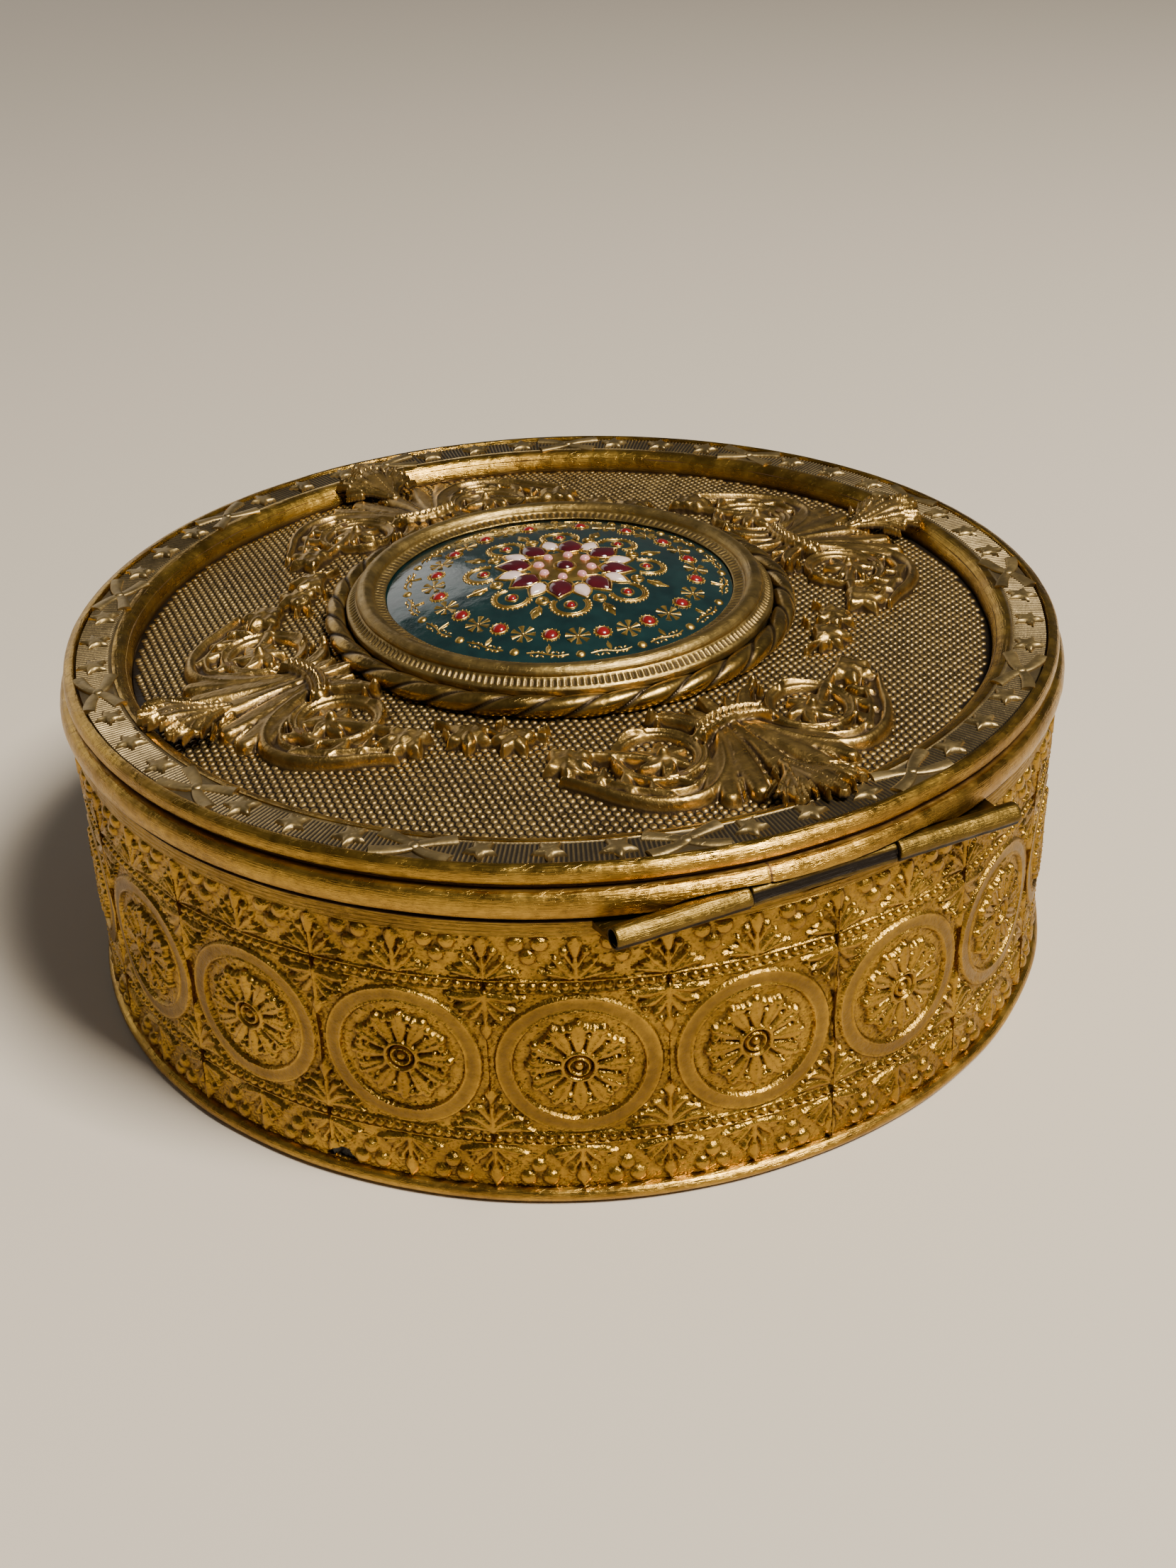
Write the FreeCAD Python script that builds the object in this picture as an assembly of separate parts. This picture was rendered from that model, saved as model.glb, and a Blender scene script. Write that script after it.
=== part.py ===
"""Round gilt-brass trinket box with a hinged lid, an enamelled medallion and cast openwork mounts.

Frame: millimetres, +Z up, origin at the centre of the underside. The hinge is at the back (+Y), so the lid
opens about a line parallel to X. Every physical piece is one node, written to parts/NODE.step.
"""

import FreeCAD, Part
import math
import os

# ---- driving dimensions --------------------------------------------------------------------------------
WALL_IN_R = 58.6          # structural cylinder, inside
WALL_R = 59.4             # structural cylinder, outside
FRIEZE_R = 60.0           # ground of the stamped strip
TOP_BAND_R = 60.3         # plain band above the strip
RIM_R = 61.1              # half-round moulding at the base
RIM_TOP = 1.7
RIM_IN_R = 58.5
BEAD_DEPTH = 0.9          # how far the half-round mouldings bulge
FRIEZE_TOP = 34.4
BODY_TOP = 36.3
FLOOR_TOP = 0.9

COLLAR_IN_R = 57.8        # upright flange that the lid closes over
COLLAR_BOTTOM = 30.0
COLLAR_TOP = 39.6
LINING_THICK = 1.0
PAD_TOP = 4.2
LID_PAD_R = 52.0
LID_PAD_THICK = 1.7
FIT_GAP = 0.05
CLOSE_GAP = 0.02          # between soldered parts

LID_BOTTOM = 36.7
LID_IN_R = 59.0
LOWER_BEAD_R = 61.2
LOWER_BEAD_TOP = 39.8
GROOVE_R = 59.6           # bottom of the groove between the rim's two beads
UPPER_BEAD_R = 60.4
UPPER_BEAD_DEPTH = 0.6
UPPER_BEAD_BOTTOM = 40.4
UPPER_BEAD_TOP = 42.3
RIM_LIP_TOP = 42.55
BORDER_TOP = 42.2
BORDER_OUT_R = 58.85
BORDER_IN_R = 54.6
BEAD_WALL_IN_R = 52.6     # smooth wall below the rolled inner edge of the border
PAN_WALL_IN_R = 53.0      # wall of the sunk middle of the lid
PAN_SHEET = 0.6
PAN_FLOOR = 38.3
FLANGE_BOTTOM = 40.8

CROWN_TOP = 42.3          # middle of the crowned field
CROWN_R = 511.0           # radius of that crown
FIELD_R = 52.5
FIELD_SHEET = 0.65

ROPE_R = 27.6
ROPE_THICK_R = 1.35
BEZEL_R = 26.15           # milled flange of the bezel
BEZEL_NECK_R = 25.85
FLANGE_Z = (43.3, 43.5, 44.4)        # under the flange, its lower edge and its upper edge
BEZEL_SLOPE_END = (24.95, 45.3)      # where the milled slope meets the round bead
BEZEL_BEAD_TOP = (23.9, 46.4)
BEZEL_BEAD_IN = (22.85, 45.9)
BEZEL_SEAT_R = 22.0
BEZEL_LIP_R = 21.3
BEZEL_LIP_THICK = 0.3
LIP_GAP = 0.35            # from the dome's edge up to the lip that holds it
DOME_R = 21.9
DOME_TOP = 47.8
DOME_EDGE = 44.7
DOME_THICK = 1.1
BACKING_R = 21.5

HINGE_Y = 60.2
HINGE_Z = 37.0
HINGE_HALF = 24.0
KNUCKLE_R = 1.15
PIN_R = 0.55
PIN_CLEARANCE = 0.07
KNUCKLE_SPLIT = 8.7       # joint between the middle knuckle and its neighbours
KNUCKLE_GAP = 0.08
HINGE_RELIEF_R = 1.45
HINGE_END_SPACE = 0.3
PIN_INSET = 3.2           # from the end of the barrel to the end of the pin
OPEN_END_DEPTH = 3.0      # the barrel's ends are hollow tube this far in
TUBE_WALL = 0.35
WEB_BOTTOM = BODY_TOP - 1.5

MOUNT_COUNT = 4
MOUNT_TURN = 5.0          # degrees that the mounts stand round from the axes
MOUNT_SHIFTS = [-1.0, 1.0, 0.0, 0.0]         # how far each mount sits out from its usual place
MOUNT_THICK = 2.3
STUD_R = 0.6
STUD_PLACES = [(41.0, -10.0), (41.0, 10.0)]  # outward and sideways, in each mount
NUT_ACROSS_R = 1.5
NUT_TOP = 39.6
NUT_THICK = 0.6
STUD_BOTTOM = 38.95
STUD_DEPTH = 1.3          # how far a stud stands in its mount

Z_AXIS = FreeCAD.Vector(0, 0, 1)
ORIGIN = FreeCAD.Vector(0, 0, 0)


# ---- helpers ---------------------------------------------------------------------------------------------
def profile_point(pair):
    return FreeCAD.Vector(pair[0], 0, pair[1])


def revolved(outline):
    """A solid of revolution about Z. The outline is (r, z) corners; a pair of them is an arc through the
    first to the second. The last corner joins the first."""
    first = profile_point(outline[0])
    here = first
    edges = []
    for step in outline[1:]:
        if isinstance(step[0], tuple):
            through, end = profile_point(step[0]), profile_point(step[1])
            edges.append(Part.Arc(here, through, end).toShape())
        else:
            end = profile_point(step)
            edges.append(Part.LineSegment(here, end).toShape())
        here = end
    edges.append(Part.LineSegment(here, first).toShape())
    return Part.Face(Part.Wire(edges)).revolve(ORIGIN, Z_AXIS, 360)


def ring(inner_r, outer_r, bottom, top):
    return revolved([(inner_r, bottom), (outer_r, bottom), (outer_r, top), (inner_r, top)])


def disc(radius, bottom, top):
    return Part.makeCylinder(radius, top - bottom, FreeCAD.Vector(0, 0, bottom))


def along_hinge(radius, start_x, end_x):
    start = FreeCAD.Vector(start_x, HINGE_Y, HINGE_Z)
    return Part.makeCylinder(radius, end_x - start_x, start, FreeCAD.Vector(1, 0, 0))


def round_corner(radius):
    """How far the middle of a rounded corner lies in from both of its sides."""
    return radius * (1 - math.sqrt(0.5))


def block(low, high):
    size = [b - a for a, b in zip(low, high)]
    return Part.makeBox(*size, FreeCAD.Vector(*low))


def crown_z(radius):
    """Height of the field's crowned upper face at a distance from the middle."""
    return CROWN_TOP - CROWN_R + math.sqrt(CROWN_R ** 2 - radius ** 2)


def crown_layer(bottom_gap, top_gap, inner_r, outer_r):
    """A ring that follows the crown, between two heights above it."""
    middle_r = (inner_r + outer_r) / 2
    low = [(r, crown_z(r) + bottom_gap) for r in (inner_r, middle_r, outer_r)]
    high = [(r, crown_z(r) + top_gap) for r in (outer_r, middle_r, inner_r)]
    return revolved([low[0], (low[1], low[2]), high[0], (high[1], high[2])])


def prism(corners, bottom, top):
    """An upright prism on a closed outline of (x, y) corners."""
    points = [FreeCAD.Vector(x, y, bottom) for x, y in corners]
    face = Part.Face(Part.makePolygon(points + points[:1]))
    return face.extrude(FreeCAD.Vector(0, 0, top - bottom))


def ribbon(points, half_widths, bottom, top):
    """An upright prism along a path, as wide as stated at each of the path's points."""
    left, right = [], []
    for i, (x, y) in enumerate(points):
        before = points[max(i - 1, 0)]
        after = points[min(i + 1, len(points) - 1)]
        along_x, along_y = after[0] - before[0], after[1] - before[1]
        length = math.hypot(along_x, along_y)
        side_x, side_y = -along_y / length * half_widths[i], along_x / length * half_widths[i]
        left.append((x + side_x, y + side_y))
        right.append((x - side_x, y - side_y))
    return prism(left + right[::-1], bottom, top)


def post(x, y, radius, bottom, top):
    return Part.makeCylinder(radius, top - bottom, FreeCAD.Vector(x, y, bottom))


def fused(shapes):
    return shapes[0].multiFuse(shapes[1:]).removeSplitter()


def turned(shape, degrees):
    copy = shape.copy()
    copy.rotate(ORIGIN, Z_AXIS, degrees)
    return copy


# ---- the body --------------------------------------------------------------------------------------------
def whole_hinge_relief():
    """The trough in the body that the whole barrel lies in."""
    reach = HINGE_HALF + HINGE_END_SPACE
    return along_hinge(HINGE_RELIEF_R, -reach, reach)


def base_plate():
    return disc(RIM_IN_R - FIT_GAP, 0, FLOOR_TOP)


def base_rim():
    flat = RIM_R - BEAD_DEPTH
    return revolved([(RIM_IN_R, 0), (flat, 0), ((RIM_R, RIM_TOP / 2), (flat, RIM_TOP)), (RIM_IN_R, RIM_TOP)])


def body_wall():
    return ring(WALL_IN_R, WALL_R, RIM_TOP, BODY_TOP).cut(whole_hinge_relief())


def frieze_band():
    return ring(WALL_R, FRIEZE_R, RIM_TOP, FRIEZE_TOP)


def top_band():
    return ring(WALL_R, TOP_BAND_R, FRIEZE_TOP, BODY_TOP).cut(whole_hinge_relief())


def body_collar():
    return ring(COLLAR_IN_R, WALL_IN_R, COLLAR_BOTTOM, COLLAR_TOP)


def wall_lining():
    outer = WALL_IN_R - FIT_GAP
    return ring(outer - LINING_THICK, outer, RIM_TOP, COLLAR_BOTTOM)


def floor_pad():
    edge = WALL_IN_R - LINING_THICK - 3 * FIT_GAP
    shoulder = 1.2
    corner = round_corner(shoulder)
    return revolved([
        (0, FLOOR_TOP), (edge, FLOOR_TOP), (edge, PAD_TOP - shoulder),
        ((edge - corner, PAD_TOP - corner), (edge - shoulder, PAD_TOP)), (0, PAD_TOP),
    ])


def body_knuckle(near_x, far_x):
    """An outer knuckle and the web below it that solders it to the body."""
    low_x, high_x = min(near_x, far_x), max(near_x, far_x)
    web = block((low_x, WALL_IN_R / 2, WEB_BOTTOM), (high_x, HINGE_Y + 0.6 * KNUCKLE_R, BODY_TOP - 0.1))
    web = web.cut(disc(TOP_BAND_R, 0, HINGE_Z))
    tube = along_hinge(KNUCKLE_R, low_x, high_x).fuse(web)
    tube = tube.cut(along_hinge(PIN_R, low_x, high_x))
    open_start = far_x - OPEN_END_DEPTH if far_x > 0 else far_x
    return tube.cut(along_hinge(KNUCKLE_R - TUBE_WALL, open_start, open_start + OPEN_END_DEPTH))


def hinge_knuckle_left():
    return body_knuckle(KNUCKLE_SPLIT + KNUCKLE_GAP, HINGE_HALF)


def hinge_knuckle_right():
    return body_knuckle(-KNUCKLE_SPLIT - KNUCKLE_GAP, -HINGE_HALF)


def hinge_pin():
    return along_hinge(PIN_R, -HINGE_HALF + PIN_INSET, HINGE_HALF - PIN_INSET)


# ---- the lid ---------------------------------------------------------------------------------------------
def lid_rim():
    """Two half-round beads with a groove between them, cut away round the hinge barrel."""
    lower_flat = LOWER_BEAD_R - BEAD_DEPTH
    upper_flat = UPPER_BEAD_R - UPPER_BEAD_DEPTH
    edge = 0.1
    shape = revolved([
        (LID_IN_R, LID_BOTTOM), (lower_flat, LID_BOTTOM),
        ((LOWER_BEAD_R, (LID_BOTTOM + LOWER_BEAD_TOP) / 2), (lower_flat, LOWER_BEAD_TOP)),
        (GROOVE_R, LOWER_BEAD_TOP + edge), (GROOVE_R, UPPER_BEAD_BOTTOM - edge),
        (upper_flat, UPPER_BEAD_BOTTOM),
        ((UPPER_BEAD_R, (UPPER_BEAD_BOTTOM + UPPER_BEAD_TOP) / 2), (upper_flat, UPPER_BEAD_TOP)),
        (((LID_IN_R + upper_flat) / 2, RIM_LIP_TOP), (LID_IN_R, BORDER_TOP)),
    ])
    split = KNUCKLE_SPLIT - KNUCKLE_GAP
    reach = HINGE_HALF + HINGE_END_SPACE
    shape = shape.cut(along_hinge(HINGE_RELIEF_R, -reach, -split))
    shape = shape.cut(along_hinge(HINGE_RELIEF_R, split, reach))
    return shape.cut(along_hinge(KNUCKLE_R, -split, split))


def lid_knuckle():
    split = KNUCKLE_SPLIT - KNUCKLE_GAP
    tube = along_hinge(KNUCKLE_R, -split, split)
    return tube.cut(along_hinge(PIN_R + PIN_CLEARANCE, -split, split))


def lid_pan():
    """The lid's sheet: a sunk middle with a flange that the border lies on."""
    outer_wall = PAN_WALL_IN_R + PAN_SHEET
    flange_top = FLANGE_BOTTOM + PAN_SHEET
    flange_r = LID_IN_R - FIT_GAP
    return revolved([
        (0, PAN_FLOOR), (outer_wall, PAN_FLOOR), (outer_wall, FLANGE_BOTTOM), (flange_r, FLANGE_BOTTOM),
        (flange_r, flange_top), (PAN_WALL_IN_R, flange_top), (PAN_WALL_IN_R, PAN_FLOOR + PAN_SHEET),
        (0, PAN_FLOOR + PAN_SHEET),
    ])


def border_ring():
    return ring(BORDER_IN_R, BORDER_OUT_R, FLANGE_BOTTOM + PAN_SHEET, BORDER_TOP)


def inner_bead_ring():
    """The rolled edge inside the border: a quarter-round that drops to a smooth wall."""
    foot = FLANGE_BOTTOM + PAN_SHEET + CLOSE_GAP
    inner_wall = PAN_WALL_IN_R - CLOSE_GAP
    field_edge = crown_z(FIELD_R) + FIT_GAP
    roll_r = BORDER_IN_R - BEAD_WALL_IN_R
    corner = round_corner(roll_r)
    return revolved([
        (BEAD_WALL_IN_R, field_edge), (inner_wall, field_edge), (inner_wall, foot), (BORDER_IN_R, foot),
        (BORDER_IN_R, BORDER_TOP),
        ((BEAD_WALL_IN_R + corner, BORDER_TOP - corner), (BEAD_WALL_IN_R, BORDER_TOP - roll_r)),
    ])


def stud_places():
    for k in range(MOUNT_COUNT):
        turn = math.radians(MOUNT_TURN + 90 * k)
        for place, sideways in STUD_PLACES:
            outward = place + MOUNT_SHIFTS[k]
            x = outward * math.cos(turn) - sideways * math.sin(turn)
            y = outward * math.sin(turn) + sideways * math.cos(turn)
            yield x, y


def field_plate():
    top_mid = crown_z(FIELD_R / 2)
    top_edge = crown_z(FIELD_R)
    plate = revolved([
        (0, CROWN_TOP - FIELD_SHEET),
        ((FIELD_R / 2, top_mid - FIELD_SHEET), (FIELD_R, top_edge - FIELD_SHEET)),
        (FIELD_R, top_edge), ((FIELD_R / 2, top_mid), (0, CROWN_TOP)),
    ])
    for x, y in stud_places():
        plate = plate.cut(post(x, y, STUD_R, PAN_FLOOR, BORDER_TOP))
    return plate


def rope_ring():
    height = crown_z(ROPE_R) + ROPE_THICK_R + CLOSE_GAP
    return Part.makeTorus(ROPE_R, ROPE_THICK_R, FreeCAD.Vector(0, 0, height), Z_AXIS)


def bezel():
    foot = crown_z(BEZEL_SEAT_R) + CLOSE_GAP
    lip = DOME_EDGE + LIP_GAP
    under, lower_edge, upper_edge = FLANGE_Z
    return revolved([
        (BEZEL_SEAT_R, foot), (BEZEL_NECK_R, foot), (BEZEL_NECK_R, under), (BEZEL_R, lower_edge),
        (BEZEL_R, upper_edge), BEZEL_SLOPE_END, (BEZEL_BEAD_TOP, BEZEL_BEAD_IN),
        (BEZEL_LIP_R, lip + BEZEL_LIP_THICK), (BEZEL_LIP_R, lip), (BEZEL_SEAT_R, lip),
    ])


def dome_arc_middle(edge_z, top_z):
    """The point halfway out on the arc from the dome's edge to its top."""
    rise = top_z - edge_z
    radius = (DOME_R ** 2 + rise ** 2) / (2 * rise)
    return DOME_R / 2, top_z - radius + math.sqrt(radius ** 2 - (DOME_R / 2) ** 2)


def enamel_dome():
    under_edge, under_top = DOME_EDGE - DOME_THICK, DOME_TOP - DOME_THICK
    return revolved([
        (0, under_top), (dome_arc_middle(under_edge, under_top), (DOME_R, under_edge)),
        (DOME_R, DOME_EDGE), (dome_arc_middle(DOME_EDGE, DOME_TOP), (0, DOME_TOP)),
    ])


def medallion_backing():
    return disc(BACKING_R, CROWN_TOP + FIT_GAP, DOME_EDGE - DOME_THICK - FIT_GAP)


# Plan of a corner mount: outward from the middle of the lid, and sideways.
FAN_HALF = [
    (30.0, 0.0), (31.0, 1.4), (30.9, 3.6), (29.6, 6.0), (30.4, 7.2), (32.6, 4.8), (34.3, 3.9), (36.3, 3.4),
    (38.5, 3.8), (41.0, 5.6), (44.5, 8.8), (47.4, 8.8), (48.8, 6.6), (50.2, 4.6), (51.0, 2.0),
]
FLARE_HALF = [(43.5, 2.4), (47.5, 2.0), (50.0, 3.4), (53.5, 4.0), (55.6, 2.2), (56.2, 0.0)]
ARM = [(38.0, 3.6), (41.4, 5.8), (44.0, 9.0), (44.2, 12.4), (42.0, 15.8), (38.6, 18.2), (34.4, 20.2)]
ARM_HALF_WIDTHS = [0.7, 1.1, 1.4, 1.4, 1.3, 1.1, 0.8]
VOLUTE_CENTRE = (36.0, 10.2)
VOLUTE_R = 5.0
VOLUTE_BAND = 1.4
ROSETTE_R = 2.1
LINK_HALF_WIDTHS = [0.7, 0.7]
STEM_HALF_WIDTHS = [1.2, 1.4]
END_LEAF = (32.0, 19.0)
END_LEAF_R = 3.0
FLARE_BOTTOM = 42.5
FLARE_TOP = 43.7
ROOT = [(43.5, -2.2), (47.5, -2.2), (47.5, 2.2), (43.5, 2.2)]     # joins the flare to the fan
ROOT_BOTTOM = 42.0
MOUNT_REACH = (29.3, 52.3)           # the part of the mount that lies on the crown
BELOW_LID, ABOVE_LID = 38.0, 46.0    # heights that clear the mounts, for cutting
SOLDER_GAP = 0.03


def mirrored_outline(half):
    return half + [(x, -y) for x, y in reversed(half) if y > 0]


def mount_scroll(side, bottom, top):
    """One side of a mount: the volute with its rosette, the arm that sweeps round it and the end leaf."""
    x, y = VOLUTE_CENTRE[0], side * VOLUTE_CENTRE[1]
    band = post(x, y, VOLUTE_R, bottom, top).cut(post(x, y, VOLUTE_R - VOLUTE_BAND, bottom, top))
    rosette = post(x, y, ROSETTE_R, bottom, top)
    reach = VOLUTE_R - VOLUTE_BAND / 2
    link = ribbon([(x - reach, y), (x + reach, y)], LINK_HALF_WIDTHS, bottom, top)
    stem_end = (ARM[2][0], side * ARM[2][1])
    stem = ribbon([(x + reach, y), stem_end], STEM_HALF_WIDTHS, bottom, top)
    twig_end = (END_LEAF[0], side * END_LEAF[1])
    twig = ribbon([(x, y + side * reach), twig_end], LINK_HALF_WIDTHS, bottom, top)
    arm = ribbon([(u, side * v) for u, v in ARM], ARM_HALF_WIDTHS, bottom, top)
    leaf = post(END_LEAF[0], side * END_LEAF[1], END_LEAF_R, bottom, top)
    return [band, rosette, link, stem, twig, arm, leaf]


def corner_mount(shift):
    """A mount on the +X axis: a fan of leaves, two scrolls, and a tip that lies over the border."""
    pieces = [prism(mirrored_outline(FAN_HALF), BELOW_LID, ABOVE_LID)]
    for side in (-1, 1):
        pieces += mount_scroll(side, BELOW_LID, ABOVE_LID)
    plan = fused(pieces)
    plan.translate(FreeCAD.Vector(shift, 0, 0))
    body = plan.common(crown_layer(SOLDER_GAP, MOUNT_THICK, *MOUNT_REACH))
    tip = prism(mirrored_outline(FLARE_HALF), FLARE_BOTTOM, FLARE_TOP)
    root = prism(ROOT, ROOT_BOTTOM, FLARE_TOP)
    tip.translate(FreeCAD.Vector(shift, 0, 0))
    root.translate(FreeCAD.Vector(shift, 0, 0))
    mount = fused([body, tip, root])
    for place, sideways in STUD_PLACES:
        outward = place + shift
        hole_top = crown_z(math.hypot(outward, sideways)) + STUD_DEPTH + FIT_GAP
        mount = mount.cut(post(outward, sideways, STUD_R, BELOW_LID, hole_top))
    return mount


GARLAND_R = 33.6
GARLAND_HALF_ANGLE = 8.8
GARLAND_LEAF_TURNS = (-3.0, 4.4)
GARLAND_LEAF_R = 2.8
GARLAND_THICK = 2.0
GARLAND_REACH = (30, 42)
STEM_POINTS = 9
STEM_HALF_WIDTH = 0.7


def on_circle(radius, degrees):
    angle = math.radians(degrees)
    return radius * math.cos(angle), radius * math.sin(angle)


def garland():
    """Two ivy leaves on a short curved stem, centred on the +X axis."""
    step = 2 * GARLAND_HALF_ANGLE / (STEM_POINTS - 1)
    stem_path = [on_circle(GARLAND_R, k * step - GARLAND_HALF_ANGLE) for k in range(STEM_POINTS)]
    stem = ribbon(stem_path, [STEM_HALF_WIDTH] * STEM_POINTS, BELOW_LID, ABOVE_LID)
    leaf_places = [on_circle(GARLAND_R, turn) for turn in GARLAND_LEAF_TURNS]
    leaves = [post(x, y, GARLAND_LEAF_R, BELOW_LID, ABOVE_LID) for x, y in leaf_places]
    return fused([stem] + leaves).common(crown_layer(SOLDER_GAP, GARLAND_THICK, *GARLAND_REACH))


def mount_studs():
    studs = []
    for x, y in stud_places():
        top = crown_z(math.hypot(x, y)) + STUD_DEPTH
        studs.append(post(x, y, STUD_R, STUD_BOTTOM, top))
    return Part.makeCompound(studs)


def mount_nuts():
    nuts = []
    for x, y in stud_places():
        offsets = [on_circle(NUT_ACROSS_R, 60 * k) for k in range(6)]
        nut = prism([(x + dx, y + dy) for dx, dy in offsets], NUT_TOP - NUT_THICK, NUT_TOP)
        nuts.append(nut.cut(post(x, y, STUD_R, PAN_FLOOR, BORDER_TOP)))
    return Part.makeCompound(nuts)


def lid_lining():
    bottom = PAN_FLOOR - LID_PAD_THICK
    shoulder = 1.0
    corner = round_corner(shoulder)
    return revolved([
        (0, bottom), (LID_PAD_R - shoulder, bottom),
        ((LID_PAD_R - corner, bottom + corner), (LID_PAD_R, bottom + shoulder)),
        (LID_PAD_R, PAN_FLOOR), (0, PAN_FLOOR),
    ])


def build_parts():
    parts = {
        "base_plate": base_plate(),
        "base_rim": base_rim(),
        "body_wall": body_wall(),
        "frieze_band": frieze_band(),
        "top_band": top_band(),
        "body_collar": body_collar(),
        "wall_lining": wall_lining(),
        "floor_pad": floor_pad(),
        "hinge_knuckle_left": hinge_knuckle_left(),
        "hinge_knuckle_right": hinge_knuckle_right(),
        "hinge_pin": hinge_pin(),
        "lid_rim": lid_rim(),
        "lid_knuckle": lid_knuckle(),
        "lid_pan": lid_pan(),
        "border_ring": border_ring(),
        "inner_bead_ring": inner_bead_ring(),
        "field_plate": field_plate(),
        "rope_ring": rope_ring(),
        "bezel": bezel(),
        "enamel_dome": enamel_dome(),
        "medallion_backing": medallion_backing(),
        "mount_studs": mount_studs(),
        "mount_nuts": mount_nuts(),
        "lid_lining": lid_lining(),
    }
    chain = garland()
    for k in range(MOUNT_COUNT):
        turn = MOUNT_TURN + 360 / MOUNT_COUNT * k
        parts[f"corner_mount_{k + 1}"] = turned(corner_mount(MOUNT_SHIFTS[k]), turn)
        parts[f"garland_{k + 1}"] = turned(chain, turn + 180 / MOUNT_COUNT)
    return parts


os.makedirs("parts", exist_ok=True)
for node, shape in build_parts().items():
    shape.exportStep(f"parts/{node}.step")
    print(f"{node}: {len(shape.Solids)} solid(s), valid {shape.isValid()}, {shape.Volume:.1f} mm3")
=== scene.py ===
"""Looks of a round gilt trinket box: stamped frieze, crowned lid with cast mounts, enamel medallion.

Shapes are worked out in millimetres in the CAD frame and written to Blender in metres. Relief comes from
height maps drawn with beads and strokes, then bent onto the wall of the box or onto the crown of the lid.
"""
import math

import bpy
import numpy as np
from mathutils import Matrix, Vector


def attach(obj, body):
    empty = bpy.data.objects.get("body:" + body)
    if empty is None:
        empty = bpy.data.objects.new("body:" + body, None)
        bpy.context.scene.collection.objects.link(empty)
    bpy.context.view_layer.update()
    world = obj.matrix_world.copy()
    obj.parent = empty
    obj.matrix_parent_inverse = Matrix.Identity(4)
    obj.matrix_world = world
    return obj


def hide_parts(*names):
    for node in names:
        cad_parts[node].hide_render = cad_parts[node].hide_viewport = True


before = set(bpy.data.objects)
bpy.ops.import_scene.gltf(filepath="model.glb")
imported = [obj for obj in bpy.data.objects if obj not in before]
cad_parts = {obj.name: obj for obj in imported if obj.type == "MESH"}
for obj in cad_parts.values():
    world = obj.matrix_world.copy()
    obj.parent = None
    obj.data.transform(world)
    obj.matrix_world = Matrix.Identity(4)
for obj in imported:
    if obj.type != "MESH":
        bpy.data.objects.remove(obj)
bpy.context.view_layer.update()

MM = 0.001
BODY, LID = "body", "lid"
CHANCE = np.random.default_rng(7)

# ---- sizes in mm, as in the CAD part -------------------------------------------------------------------
WALL_R = 59.4
FRIEZE_R = 60.0
TOP_BAND_R = 60.3
RIM_R = 61.1
RIM_TOP = 1.7
BEAD_DEPTH = 0.9                  # how far the beads of both rims stand out
FRIEZE_TOP = 34.4
BODY_TOP = 36.3
COLLAR_IN_R, COLLAR_OUT_R = 57.8, 58.6
COLLAR_BOTTOM, COLLAR_TOP = 30.0, 39.6
PAD_R, PAD_BOTTOM, PAD_TOP = 57.45, 0.9, 4.2
LID_PAD_R, LID_PAD_BOTTOM, LID_PAD_TOP = 52.0, 36.6, 38.3
HINGE_Y, HINGE_Z = 60.2, 37.0
HINGE_HALF = 24.0
HINGE_RELIEF_R = 1.5
KNUCKLE_SPLIT, KNUCKLE_GAP = 8.7, 0.08
BORDER_IN_R, BORDER_OUT_R, BORDER_TOP = 54.6, 58.85, 42.2
CROWN_TOP, CROWN_R = 42.3, 511.0
FIELD_R = 52.5
ROPE_R, ROPE_THICK_R = 27.6, 1.35
DOME_R, DOME_TOP, DOME_EDGE = 21.9, 47.8, 44.7
MOUNT_TURN = 5.0
PERIODS = 20                      # medallions round the wall
FIRST_MEDALLION = 11.0            # degrees

# Tone of a surface that has no pattern, and the tone that paints shade, shown black, into the inside of a
# hole or a crease.
PLAIN_TONE, HOLE_SHADE_TONE = 0.6, -0.6


# ---- shapes ----------------------------------------------------------------------------------------------
class Shape:
    """Points in mm with faces of four and of three corners. Tone is 0 in hollows and 1 on high spots, and low
    where shade is painted.
    """

    def __init__(self, points, quads=(), triangles=(), tone=None):
        self.points = np.asarray(points, float).reshape(-1, 3)
        self.quads = np.asarray(quads, int).reshape(-1, 4)
        self.triangles = np.asarray(triangles, int).reshape(-1, 3)
        self.tone = np.full(len(self.points), PLAIN_TONE) if tone is None else np.asarray(tone, float).ravel()

    def facing_out(self):
        """Turns the faces round if they enclose a negative volume."""
        corners = np.concatenate([self.quads[:, :3], self.quads[:, [0, 2, 3]], self.triangles])
        a, b, c = (self.points[corners[:, k]] for k in range(3))
        if np.einsum("ij,ij->", a, np.cross(b, c)) < 0:
            self.quads = self.quads[:, ::-1]
            self.triangles = self.triangles[:, ::-1]
        return self

    def turned(self, degrees):
        """A copy turned about the box's axis."""
        angle = math.radians(degrees)
        cos, sin = math.cos(angle), math.sin(angle)
        x, y, z = self.points.T
        points = np.stack([x * cos - y * sin, x * sin + y * cos, z], -1)
        return Shape(points, self.quads, self.triangles, self.tone)


def joined(shapes):
    """Several shapes as one."""
    counts = np.cumsum([0] + [len(s.points) for s in shapes])
    return Shape(
        np.concatenate([s.points for s in shapes]),
        np.concatenate([s.quads + n for s, n in zip(shapes, counts)]),
        np.concatenate([s.triangles + n for s, n in zip(shapes, counts)]),
        np.concatenate([s.tone for s in shapes]),
    )


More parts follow.
